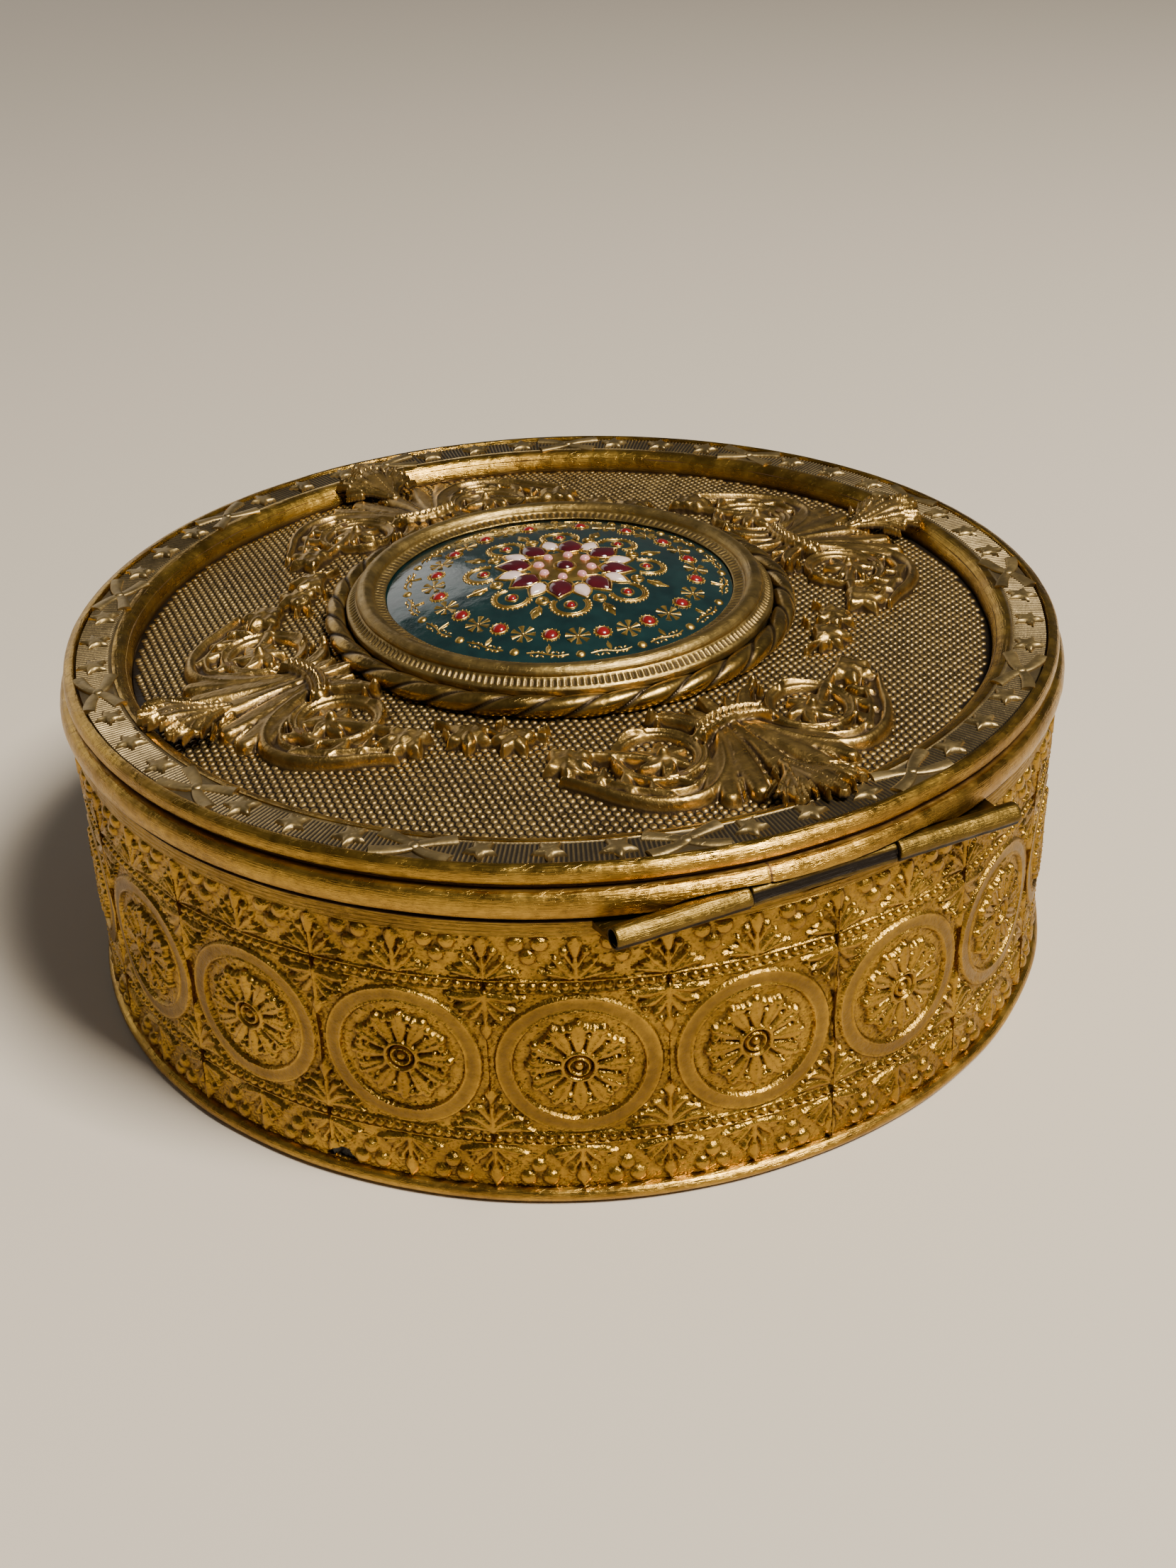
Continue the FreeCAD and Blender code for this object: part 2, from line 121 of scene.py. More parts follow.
def grid_quads(rows, cols, wrap_rows=False, wrap_cols=False):
    """The faces of a net of points, which may close on itself either way."""
    all_rows, all_cols = np.arange(rows - (not wrap_rows)), np.arange(cols - (not wrap_cols))
    row, col = np.meshgrid(all_rows, all_cols, indexing="ij")
    next_row, next_col = (row + 1) % rows, (col + 1) % cols
    corners = [row * cols + col, row * cols + next_col, next_row * cols + next_col, next_row * cols + col]
    return np.stack(corners, -1).reshape(-1, 4)


def fan(loop, hub):
    """Triangles from the edges of a closed loop of points to one hub."""
    return np.stack([loop, np.roll(loop, -1), np.full(len(loop), hub)], -1)


def capped_tube(points):
    """A tube from rows of points, each row a closed loop, with its first and last rows filled in."""
    rows, cols, _ = points.shape
    points = points.reshape(-1, 3)
    first = np.arange(cols)
    last = first + (rows - 1) * cols
    ends = [points[first].mean(0), points[last].mean(0)]
    caps = [fan(first, len(points))[:, [1, 0, 2]], fan(last, len(points) + 1)]
    quads = grid_quads(rows, cols, False, True)
    return Shape(np.concatenate([points, ends]), quads, np.concatenate(caps)).facing_out()


def polar(radius, angle, z):
    """Points from a radius and an angle round the box's axis, and a height."""
    return np.stack(np.broadcast_arrays(radius * np.cos(angle), radius * np.sin(angle), z), -1)


def revolved(outline, steps, change=None):
    """A ring from a closed (r, z) outline. `change(angle, r, z)` may return altered r, z and a tone."""
    outline = np.asarray(outline, float)
    angle = np.linspace(0, math.tau, steps, endpoint=False)[:, None]
    r = np.repeat(outline[None, :, 0], steps, 0)
    z = np.repeat(outline[None, :, 1], steps, 0)
    tone = np.full(r.shape, PLAIN_TONE)
    if change:
        r, z, tone = change(angle, r, z)
    points = polar(r, angle, z)
    return Shape(points, grid_quads(*r.shape, True, True), tone=tone).facing_out()


def arc(centre, radius, start, end, count):
    """Points of an arc in degrees, as an outline for `revolved`."""
    angles = np.radians(np.linspace(start, end, count))
    return [(centre[0] + radius * math.cos(a), centre[1] + radius * math.sin(a)) for a in angles]


def bulge(low, high, depth, count=12):
    """Half-round bead between two (r, z) corners, bulging outward by `depth`."""
    share = np.linspace(0, 1, count)
    out = depth * np.sqrt(np.clip(1 - (2 * share - 1) ** 2, 0, 1))
    (low_r, low_z), (high_r, high_z) = low, high
    return [(low_r + (high_r - low_r) * t + o, low_z + (high_z - low_z) * t) for t, o in zip(share, out)]


def waver(points, size, amount, seed=3):
    """Gentle unevenness at any set of points: a sum of waves in seeded directions."""
    rng = np.random.default_rng(seed)
    total = np.zeros(points.shape[:-1])
    for _ in range(7):
        direction = rng.normal(size=3)
        direction /= np.linalg.norm(direction) * size * rng.uniform(0.5, 1.6)
        total += np.sin(points @ direction * math.tau + rng.uniform(0, math.tau))
    return total * amount / 7


def smooth_path(points, count):
    """Catmull-Rom curve through 2-D points."""
    p = np.asarray(points, float)
    if len(p) == 2:
        return p[0] + (p[1] - p[0]) * np.linspace(0, 1, count)[:, None]
    p = np.concatenate([[2 * p[0] - p[1]], p, [2 * p[-1] - p[-2]]])
    t = np.linspace(0, len(p) - 3 - 1e-9, count)
    k = t.astype(int)
    t = (t - k)[:, None]
    a, b, c, d = p[k], p[k + 1], p[k + 2], p[k + 3]
    square, cube = 2 * a - 5 * b + 4 * c - d, 3 * b - a - 3 * c + d
    return 0.5 * (2 * b + (c - a) * t + square * t ** 2 + cube * t ** 3)


def sideways(line):
    """Unit vectors to the left of a line of 2-D points."""
    along = np.gradient(line, axis=0)
    along /= np.linalg.norm(along, axis=1)[:, None]
    return np.stack([-along[:, 1], along[:, 0]], -1)


# ---- relief ----------------------------------------------------------------------------------------------
class Relief:
    """A height map in mm on a flat patch: x runs along it and y up it. Strokes keep the greater height."""

    def __init__(self, x_range, y_range, step):
        self.step = step
        self.x, self.y = (np.linspace(low, high, round((high - low) / step) + 1)
                          for low, high in (x_range, y_range))
        self.X, self.Y = np.meshgrid(self.x, self.y)
        self.height = np.zeros(self.X.shape)
        self.dull = np.zeros(self.X.shape)

    def near(self, x, y, reach):
        """The part of the map within `reach` of a point, or of a row of points."""
        cols = slice(*np.searchsorted(self.x, [np.min(x) - reach, np.max(x) + reach]))
        rows = slice(*np.searchsorted(self.y, [np.min(y) - reach, np.max(y) + reach]))
        return rows, cols

    def lift(self, where, height):
        """Raises a part of the map to a height, unless it is higher already."""
        self.height[where] = np.maximum(self.height[where], height)

    def bead(self, x, y, radius, height, dimple=0.0):
        """A round bead; `dimple` sinks its top."""
        where = self.near(x, y, radius)
        share = ((self.X[where] - x) ** 2 + (self.Y[where] - y) ** 2) / radius ** 2
        dome = np.sqrt(np.clip(1 - share, 0, 1))
        self.lift(where, height * (dome - dimple * np.clip(1 - 4 * share, 0, 1)))

    def ring(self, x, y, radius, half_width, height, flat=0.0, dull=0.0):
        """A raised circle. `flat` 0 gives a round section, 1 a flat one; `dull` takes gold off its face."""
        where = self.near(x, y, radius + half_width)
        away = np.hypot(self.X[where] - x, self.Y[where] - y) - radius
        share = np.clip(1 - (away / half_width) ** 2, 0, 1)
        self.lift(where, height * share ** (0.5 - 0.4 * flat))
        self.dull[where] = np.maximum(self.dull[where], dull * share ** 0.3)

    def stroke(self, path, widths, height, hollow=0.0, keel=0.0, ends=1.0):
        """A raised stroke along a path. Widths are half-widths spread along it; `hollow` sinks the middle,
        `keel` sharpens it and `ends` is the height at the far end as a share of the height at the start."""
        path = np.asarray(path, float)
        length = np.hypot(*np.diff(path, axis=0).T).sum()
        count = max(4, int(length / (1.2 * self.step)))
        line = smooth_path(path, count)
        share = np.linspace(0, 1, count)
        width = np.interp(share, np.linspace(0, 1, len(widths)), widths)
        where = self.near(*line.T, width.max())
        X, Y = self.X[where], self.Y[where]
        if not X.size:
            return
        near = ((X[..., None] - line[:, 0]) ** 2 + (Y[..., None] - line[:, 1]) ** 2) / width ** 2
        best = near.argmin(-1)
        away = np.take_along_axis(near, best[..., None], -1)[..., 0]
        inside = np.clip(1 - away, 0, 1)
        section = (1 - keel) * np.sqrt(inside) + keel * np.clip(1 - np.sqrt(away), 0, 1)
        section = section * (1 - hollow * inside ** 2)
        self.lift(where, height * section * (1 + (ends - 1) * share[best]))

    def blade(self, x, y, turn, size, height, edge):
        """A lobed leaf about (x, y), folded along its veins. `turn` is its direction in degrees, `edge` gives
        the share of its size, and of its height, at angles away from the tip."""
        where = self.near(x, y, size)
        across, up = self.X[where] - x, self.Y[where] - y
        gap = np.degrees(np.abs(angle_gap(np.arctan2(up, across), turn)))
        angles, reaches, folds = zip(*edge)
        share = np.hypot(across, up) / (size * np.interp(gap, angles, reaches))
        fold = 1 - (1 - np.interp(gap, angles, folds)) * np.clip(3 * share, 0, 1)
        crinkle = 0.10 * np.sin(2.3 * across + x) * np.sin(2.9 * up + y)
        flat = np.sqrt(np.clip(1 - share ** 8, 0, 1)) * (1 - 0.15 * share + crinkle)
        self.lift(where, height * fold * flat)

    def softened(self, passes=1):
        """Rounds off the whole relief, as a casting or a worn stamping is."""
        for _ in range(passes):
            for axis in (0, 1):
                near = np.roll(self.height, 1, axis) + np.roll(self.height, -1, axis)
                self.height = 0.5 * self.height + 0.25 * near

    def tone(self, reach=0.9):
        """How far each point stands above its surroundings, as 0 to 1."""
        size = max(1, int(reach / self.step))
        mean = self.height
        for axis in (0, 1):
            count = mean.shape[axis]
            low, high = (np.repeat(mean.take([end], axis), size, axis) for end in (0, -1))
            total = np.cumsum(np.concatenate([low, mean, high], axis), axis)
            first, last = (total.take(range(start, start + count), axis) for start in (0, 2 * size))
            mean = (last - first) / (2 * size)
        return np.clip(0.5 + 1.4 * (self.height - mean) - self.dull, 0, 1)


def closed_strip_solid(relief, place, depth):
    """A closed shell: the whole relief in front and a plain back, `depth` mm behind the ground."""
    height = np.pad(relief.height, ((1, 1), (0, 0)))
    height[[0, -1]] = -depth
    tone = np.pad(relief.tone(), ((1, 1), (0, 0)), mode="edge")
    y = np.concatenate([relief.y[:1], relief.y, relief.y[-1:]])
    X, Y = np.meshgrid(relief.x, y)
    rows, cols = X.shape
    points = place(X, Y, height).reshape(-1, 3)
    left = np.arange(rows) * cols
    right = left + cols - 1
    ends = [points[left].mean(0), points[right].mean(0)]
    caps = [fan(left, len(points)), fan(right, len(points) + 1)[:, ::-1]]
    quads = grid_quads(rows, cols, True, False)[:, ::-1]
    tone = np.concatenate([tone.ravel(), [0.5, 0.5]])
    return Shape(np.concatenate([points, ends]), quads, np.concatenate(caps), tone).facing_out()


def cut_out_solid(relief, place, base, threshold=0.12):
    """A closed shell of a relief's raised part. `base` is its underside, as heights on the same grid."""
    rows, cols = relief.height.shape
    high = relief.height > base + threshold
    cells = high[:-1, :-1] | high[1:, :-1] | high[:-1, 1:] | high[1:, 1:]
    top = np.where(high, relief.height, base + 0.03)
    points = np.concatenate([place(relief.X, relief.Y, top).reshape(-1, 3),
                             place(relief.X, relief.Y, base).reshape(-1, 3)])
    under = rows * cols
    # The underside and the lower sides are darker: painted shade under the raised part.
    tone = np.concatenate([relief.tone().ravel(), np.full(under, 0.2)])
    kept = cells.ravel()
    quads = grid_quads(rows, cols)
    upper = quads[kept]
    faces = [upper, upper[:, ::-1] + under]
    padded = np.pad(cells, 1)
    neighbours = [padded[:-2, 1:-1], padded[1:-1, 2:], padded[2:, 1:-1], padded[1:-1, :-2]]
    for side, neighbour in enumerate(neighbours):
        edge = quads[kept & ~neighbour.ravel()][:, [side, (side + 1) % 4]]
        faces.append(np.concatenate([edge[:, ::-1], edge + under], 1))
    used, faces = np.unique(np.concatenate(faces), return_inverse=True)
    return Shape(points[used], faces.reshape(-1, 4), tone=tone[used]).facing_out()


def lump(outline, height, place, power=2.0, rings=4, sink=0.15, tone=0.8):
    """A raised shape with a rounded edge, from a closed outline round its own middle."""
    outline = np.asarray(outline, float)
    middle = outline.mean(0)
    share = np.linspace(0, 1, rings + 1)[1:, None]
    rise = np.concatenate([height * np.sqrt(1 - share ** power), [[-sink]]])
    share = np.concatenate([share, [[1.0]]])
    x = middle[0] + (outline[:, 0] - middle[0]) * share
    y = middle[1] + (outline[:, 1] - middle[1]) * share
    body = place(x, y, rise + 0 * x).reshape(-1, 3)
    ends = place(middle[[0, 0]], middle[[1, 1]], np.array([height, -sink]))
    count = len(outline)
    inner = np.arange(count)
    caps = [fan(inner, len(body)), fan(inner + count * rings, len(body) + 1)[:, [1, 0, 2]]]
    quads = grid_quads(rings + 1, count, False, True)[:, ::-1]
    points = np.concatenate([body, ends])
    return Shape(points, quads, np.concatenate(caps), np.full(len(points), tone)).facing_out()


def strip(path, widths, height, place, count=24, sink=0.15, smooth=True):
    """A half-round strip along a 2-D path, laid on a surface."""
    line = smooth_path(path, count) if smooth else np.asarray(path, float)
    side = sideways(line)
    width = np.interp(np.linspace(0, 1, len(line)), np.linspace(0, 1, len(widths)), widths)[:, None]
    turn = np.radians(np.arange(0, 181, 30))
    across = np.concatenate([np.cos(turn), [-1, 1]])[None, :]
    rise = np.concatenate([np.sin(turn) * height, [-sink, -sink]])[None, :]
    x = line[:, :1] + side[:, :1] * across * width
    y = line[:, 1:] + side[:, 1:] * across * width
    return capped_tube(place(x, y, rise * np.minimum(1, width / max(widths)) + 0 * x))


def circle(x, y, radius, count=16, squash=1.0, turn=0.0):
    """A closed outline; `squash` is the ratio of the axis along `turn` (radians) to the other one."""
    angle = np.linspace(0, math.tau, count, endpoint=False)
    along, across = radius * squash * np.cos(angle), radius * np.sin(angle)
    return np.stack([x + along * math.cos(turn) - across * math.sin(turn),
                     y + along * math.sin(turn) + across * math.cos(turn)], -1)


# ---- materials -------------------------------------------------------------------------------------------
class Finish:
    """A node material with short ways to add nodes. Texture sizes are in mm."""

    def __init__(self, name):
        self.material = bpy.data.materials.new(name)
        self.material.use_nodes = True
        self.tree = self.material.node_tree
        self.shader = self.tree.nodes["Principled BSDF"]
        self.place = self.tree.nodes.new("ShaderNodeTexCoord").outputs["Object"]

    def feed(self, socket, value):
        """Links a socket to another node's output, or gives it a plain value."""
        if isinstance(value, bpy.types.NodeSocket):
            self.tree.links.new(value, socket)
        else:
            socket.default_value = value

    def node(self, kind, **inputs):
        """Adds a node; an input's name has underscores for its spaces."""
        made = self.tree.nodes.new(kind)
        for name, value in inputs.items():
            self.feed(made.inputs[name.replace("_", " ")], value)
        return made

    def set(self, name, value):
        """Feeds one input of the shader."""
        self.feed(self.shader.inputs[name], value)

    def stretched(self, scale):
        """The object coordinates, each axis scaled, for grain that runs one way."""
        return self.node("ShaderNodeMapping", Vector=self.place, Scale=scale).outputs["Vector"]

    def noise(self, size, detail=3.0, low=0.35, high=0.65, place=None):
        """Noise in patches of about `size` mm, from 0 below `low` to 1 above `high`."""
        where = place or self.place
        noise = self.node("ShaderNodeTexNoise", Vector=where, Scale=1 / (size * MM), Detail=detail)
        return self.ramp(noise.outputs["Fac"], low, high)

    def ramp(self, value, low, high, start=0.0, end=1.0):
        """Maps `low` to `high` onto `start` to `end`."""
        made = self.node("ShaderNodeMapRange", Value=value, From_Min=low, From_Max=high,
                         To_Min=start, To_Max=end)
        return made.outputs["Result"]

    def times(self, first, second):
        """The product of two numbers."""
        made = self.tree.nodes.new("ShaderNodeMath")
        made.operation = "MULTIPLY"
        self.feed(made.inputs[0], first)
        self.feed(made.inputs[1], second)
        return made.outputs[0]

    def mix(self, factor, *colours):
        """A blend of two colours, each an (r, g, b) value or another node's output."""
        made = self.tree.nodes.new("ShaderNodeMix")
        made.data_type = "RGBA"
        self.feed(made.inputs["Factor"], factor)
        for socket, colour in zip([s for s in made.inputs if s.type == "RGBA"], colours):
            self.feed(socket, (*colour, 1.0) if isinstance(colour, tuple) else colour)
        return [s for s in made.outputs if s.type == "RGBA"][0]

    def tone(self, low, high):
        """The tone of the shape, from 0 at `low` to 1 at `high`."""
        attribute = self.tree.nodes.new("ShaderNodeAttribute")
        attribute.attribute_name = "tone"
        return self.ramp(attribute.outputs["Fac"], low, high)

    def bump(self, *layers):
        """Layers of (height socket, depth in mm), each on top of the last."""
        normal = None
        for height, depth in layers:
            made = self.node("ShaderNodeBump", Height=height, Distance=depth * MM)
            if normal:
                self.tree.links.new(normal, made.inputs["Normal"])
            normal = made.outputs["Normal"]
        self.set("Normal", normal)


def brass(name, bright, worn, grime_and_shade, smooth, rough, stipple=0.03, stipple_size=0.35, brushed=0.0,
          hollows=(0.22, 0.62)):
    """Gilt brass: bright on high spots, browner in patches and grimy in hollows. `hollows` are the tones
    between which the grime gives way to metal; where a piece lowers its tone to paint shade, the same dark
    colour is that painted shade. A tone below zero is a hole and is painted black as shade."""
    finish = Finish(name)
    blotch = finish.noise(9.0, 5.0)
    fine = finish.noise(0.9, 4.0, 0.3, 0.7)
    colour = finish.mix(blotch, bright, worn)
    colour = finish.mix(finish.times(fine, 0.35), colour, grime_and_shade)
    # Low tone brings in the dark colour: real grime in hollows, and painted shade where a piece lowers its
    # tone for shade.
    raised = finish.tone(*hollows)
    colour = finish.mix(raised, grime_and_shade, colour)
    # A tone below zero paints the shade inside a hole black.
    whole = finish.tone(-0.4, -0.1)
    finish.set("Base Color", finish.mix(whole, (0.004, 0.003, 0.002), colour))
    finish.set("Metallic", finish.times(finish.ramp(raised, 0.0, 1.0, 0.72, 1.0), whole))
    uneven = finish.noise(2.6, 4.0, 0.3, 0.7)
    roughness = finish.ramp(uneven, 0.0, 1.0, smooth, rough)
    grimy = finish.ramp(raised, 0.0, 1.0, 1.5, 1.0)
    finish.set("Roughness", finish.times(roughness, grimy))
    layers = [(finish.noise(stipple_size, 3.0, 0.3, 0.7), stipple), (finish.noise(4.0, 3.0), 0.05)]
    if brushed:
        layers.append((finish.noise(0.3, 2.0, 0.3, 0.7, finish.stretched((0.12, 0.12, 4.0))), brushed))
    scratch = finish.noise(0.5, 6.0, 0.60, 0.66, finish.stretched((0.2, 1.3, 1.0)))
    layers.append((scratch, 0.012))
    finish.bump(*layers)
    return finish.material


def make_materials():
    """Every finish by its short name."""
    made = {
        "frieze": brass("gilt frieze", (0.55, 0.32, 0.046), (0.34, 0.188, 0.026), (0.060, 0.030, 0.006),
                        0.22, 0.40, 0.040, 0.30, hollows=(-0.05, 0.45)),
        "band": brass("gilt band", (0.54, 0.325, 0.055), (0.37, 0.21, 0.034), (0.09, 0.050, 0.012),
                      0.22, 0.42, 0.012, 0.5, brushed=0.05),
        "rim": brass("gilt rim", (0.61, 0.37, 0.062), (0.40, 0.225, 0.038), (0.09, 0.040, 0.010),
                     0.18, 0.38, 0.012, 0.6, brushed=0.03),
        "border": brass("dark border", (0.30, 0.215, 0.095), (0.21, 0.150, 0.066), (0.020, 0.014, 0.008),
                        0.38, 0.56, 0.012, 0.3),
        "star": brass("worn border relief", (0.44, 0.315, 0.130), (0.32, 0.225, 0.092), (0.06, 0.038, 0.015),
                      0.36, 0.54, 0.012, 0.4),
        "field": brass("field nubs", (0.44, 0.295, 0.098), (0.34, 0.22, 0.072), (0.014, 0.008, 0.003),
                       0.30, 0.48, 0.012, 0.25, hollows=(0.20, 0.70)),
        "mount": brass("cast mounts", (0.52, 0.33, 0.096), (0.37, 0.23, 0.064), (0.045, 0.025, 0.008),
                       0.24, 0.42, 0.022, 0.35),
        "rope": brass("rope ring", (0.48, 0.305, 0.080), (0.35, 0.215, 0.054), (0.032, 0.018, 0.005),
                      0.20, 0.36, 0.012, 0.5),
        "bezel": brass("bezel", (0.44, 0.295, 0.090), (0.33, 0.215, 0.064), (0.055, 0.034, 0.011),
                       0.28, 0.44, 0.012, 0.5, brushed=0.02),
        "plain": brass("plain sheet", (0.50, 0.33, 0.13), (0.36, 0.23, 0.09), (0.12, 0.07, 0.03),
                       0.32, 0.52, 0.015, 0.4, brushed=0.04),
        "tube": brass("hinge tube", (0.24, 0.150, 0.030), (0.15, 0.092, 0.018), (0.010, 0.006, 0.003),
                      0.28, 0.46, 0.015, 0.4, brushed=0.03),
        "steel": brass("pin steel", (0.36, 0.33, 0.29), (0.28, 0.24, 0.2), (0.12, 0.09, 0.07), 0.34, 0.5),
    }
    made["enamel"] = enamel("dark enamel", (0.002, 0.011, 0.012), (0.005, 0.022, 0.022), 0.10)
    made["maroon"] = enamel("maroon paste", (0.034, 0.002, 0.005), (0.060, 0.004, 0.008), 0.12)
    made["red"] = enamel("red paste", (0.130, 0.004, 0.005), (0.200, 0.008, 0.009), 0.16)
    made["white"] = enamel("white paste", (0.66, 0.52, 0.47), (0.54, 0.38, 0.34), 0.20)
    made["pink"] = enamel("pink paste", (0.60, 0.27, 0.28), (0.50, 0.20, 0.21), 0.18)
    made["gold"] = brass("painted gold", (0.70, 0.46, 0.11), (0.56, 0.35, 0.08), (0.22, 0.12, 0.03),
                         0.26, 0.42, 0.01, 0.2)
    made["velvet"] = velvet("faded velvet", (0.200, 0.020, 0.032), (0.330, 0.055, 0.070))
    made["card"] = card("packing card")
    return made


def enamel(name, deep, light, roughness):
    """Glossy paste of two shades under a thin clear coat."""
    finish = Finish(name)
    finish.set("Base Color", finish.mix(finish.noise(3.0, 4.0, 0.3, 0.7), deep, light))
    finish.set("Roughness", finish.ramp(finish.noise(1.4, 4.0), 0.0, 1.0, roughness, roughness + 0.08))
    finish.set("Coat Weight", 0.6)
    finish.set("Coat Roughness", 0.05)
    finish.bump((finish.noise(2.2, 2.0), 0.03), (finish.noise(0.25, 3.0, 0.4, 0.7), 0.004))
    return finish.material


def velvet(name, deep, faded):
    """Pile cloth, crushed and faded in patches."""
    finish = Finish(name)
    nap = finish.noise(0.28, 4.0, 0.3, 0.7)
    crushed = finish.noise(7.0, 4.0, 0.38, 0.62)
    finish.set("Base Color", finish.mix(finish.times(crushed, 0.7), deep, faded))
    finish.set("Roughness", 0.92)
    finish.set("Sheen Weight", 0.55)
    finish.set("Sheen Roughness", 0.45)
    finish.set("Sheen Tint", (0.75, 0.42, 0.42, 1.0))
    finish.bump((nap, 0.16), (crushed, 0.15))
    return finish.material


def card(name):
    """Buff card with a fine fibre."""
    finish = Finish(name)
    fibre = finish.noise(0.5, 5.0, 0.3, 0.7)
    finish.set("Base Color", finish.mix(fibre, (0.46, 0.36, 0.25), (0.60, 0.50, 0.37)))
    finish.set("Roughness", 0.85)
    finish.bump((fibre, 0.04))
    return finish.material


MATERIALS = make_materials()


# ---- pieces ----------------------------------------------------------------------------------------------
def add_piece(name, shape, body, material, stands_for=(), sharp=50):
    """Writes a shape as a Blender object that moves with a CAD body and stands for CAD nodes."""
    mesh = bpy.data.meshes.new(name)
    corners = np.concatenate([shape.quads.ravel(), shape.triangles.ravel()])
    sizes = np.repeat([4, 3], [len(shape.quads), len(shape.triangles)])
    mesh.vertices.add(len(shape.points))
    mesh.vertices.foreach_set("co", (shape.points * MM).ravel())
    mesh.loops.add(len(corners))
    mesh.loops.foreach_set("vertex_index", corners)
    mesh.polygons.add(len(sizes))
    mesh.polygons.foreach_set("loop_start", np.cumsum(sizes) - sizes)
    mesh.update(calc_edges=True)
    mesh.validate()
    mesh.shade_smooth()
    mesh.set_sharp_from_angle(angle=math.radians(sharp))
    mesh.attributes.new("tone", "FLOAT", "POINT").data.foreach_set("value", shape.tone)
    mesh.materials.append(MATERIALS[material])
    piece = bpy.data.objects.new(name, mesh)
    bpy.context.scene.collection.objects.link(piece)
    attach(piece, body)
    for node in stands_for:
        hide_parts(node)
    return piece


def angle_gap(angle, degrees):
    """Signed angle in radians from a direction, wrapped to half a turn either way."""
    return (angle - math.radians(degrees) + math.pi) % math.tau - math.pi


def crown_z(radius):
    """The height of the crowned field."""
    return CROWN_TOP - radius ** 2 / (2 * CROWN_R)


def on_wall(radius):
    """Bends a flat patch onto the wall: x is mm along it from angle zero, y is the height."""
    def place(x, y, height):
        return polar(radius + height, x / radius, y)
    return place


def on_crown(x, y, height):
    """Points at a height over the crowned field."""
    return np.stack(np.broadcast_arrays(x, y, crown_z(np.hypot(x, y)) + height), -1)


def dome_z(radius):
    """The height of the enamel dome."""
    rise = DOME_TOP - DOME_EDGE
    ball = (DOME_R ** 2 + rise ** 2) / (2 * rise)
    return DOME_TOP - ball + np.sqrt(np.maximum(ball ** 2 - radius ** 2, 0))


def on_dome(x, y, height):
    """Points at a height over the enamel dome."""
    return np.stack(np.broadcast_arrays(x, y, dome_z(np.hypot(x, y)) + height), -1)


# ---- the stamped frieze ----------------------------------------------------------------------------------
PERIOD = math.tau * FRIEZE_R / PERIODS
MIDDLE = 18.2
BEAD_ROWS = (28.2, 8.35)
ROW_HALF = 0.7
BEADS_PER_PERIOD = 17


def draw_medallion(relief):
    """A broad ring round a rosette of twelve lobed leaves and a ringed boss."""
    for radius, half_width, height, flat, dull in ((7.85, 0.92, 0.34, 0.85, 0.30), (7.05, 0.22, 0.46, 0, 0),
                                                   (8.6, 0.22, 0.40, 0, 0), (1.75, 0.30, 0.66, 0, 0),
                                                   (1.05, 0.24, 0.56, 0, 0)):
        relief.ring(0, MIDDLE, radius, half_width, height, flat, dull)
    relief.bead(0, MIDDLE, 0.52, 0.66, dimple=0.3)
    for turn in range(0, 360, 30):
        draw_rosette_leaf(relief, math.radians(turn))


def draw_rosette_leaf(relief, turn):
    """One leaf of the rosette, with a middle rib and rounded lobes."""
    def at(radius, aside=0.0):
        angle = turn + aside / radius
        return radius * math.cos(angle), MIDDLE + radius * math.sin(angle)

    relief.stroke([at(2.0), at(3.3), at(4.5)], [0.42, 0.85, 1.1], 0.62, hollow=0.15)
    relief.stroke([at(2.3), at(5.1)], [0.14, 0.20], 0.80, keel=0.3)
    for radius, aside, size in ((5.25, 0.0, 0.54), (4.8, 0.88, 0.50), (4.8, -0.88, 0.50), (3.9, 0.94, 0.33)):
        relief.bead(*at(radius, aside), size, 0.72)


def draw_spray(relief, x, foot, up, size, stem, strokes, beads):
    """A spray of leaves on both sides of a stem that stands on (x, foot). `up` is +1 or -1. Points are given
    across and up from the foot; each stroke is (points, half-widths, height, keel)."""
    def at(across, rise):
        return x + across * size, foot + up * rise * size

    for points, widths, height, keel in stem:
        relief.stroke([at(0, rise) for rise in points], widths, height, keel=keel)
    for side in (-1, 1):
        for points, widths, height, keel in strokes:
            relief.stroke([at(across * side, rise) for across, rise in points], widths, height, keel=keel)
        for across, rise, radius, height in beads:
            relief.bead(*at(across * side, rise), radius, height)


def draw_palmette(relief, x, foot, up):
    """A border palmette with its foot on the bead row."""
    draw_spray(
        relief, x, foot, up, 1.0,
        stem=(((0.5, 3.4), [0.42, 0.3], 0.5, 0.5), ((3.3, 4.5, 5.6), [0.45, 0.85, 0.18], 0.62, 0.25)),
        strokes=(
            (((0.1, 1.6), (0.7, 2.7), (1.05, 3.3)), [0.2, 0.26], 0.38, 0),
            (((0.3, 0.6), (1.3, 1.7), (2.05, 2.5)), [0.3, 0.5, 0.22], 0.46, 0.4),
            (((0.5, 0.45), (2.1, 0.95), (3.7, 1.15)), [0.3, 0.62, 0.2], 0.5, 0.5),
            (((1.4, 0.9), (2.2, 1.6), (2.9, 1.7)), [0.25, 0.4, 0.15], 0.4, 0.3),
        ),
        beads=((1.12, 3.55, 0.5, 0.52), (2.05, 2.7, 0.36, 0.42)),
    )


def draw_cluster(relief, x, foot, up):
    """Three balls between two palmettes."""
    for across, rise, radius in ((-1.2, 4.6, 0.95), (1.2, 4.6, 0.95), (0, 2.95, 0.9)):
        relief.bead(x + across, foot + up * rise, radius, 0.62)


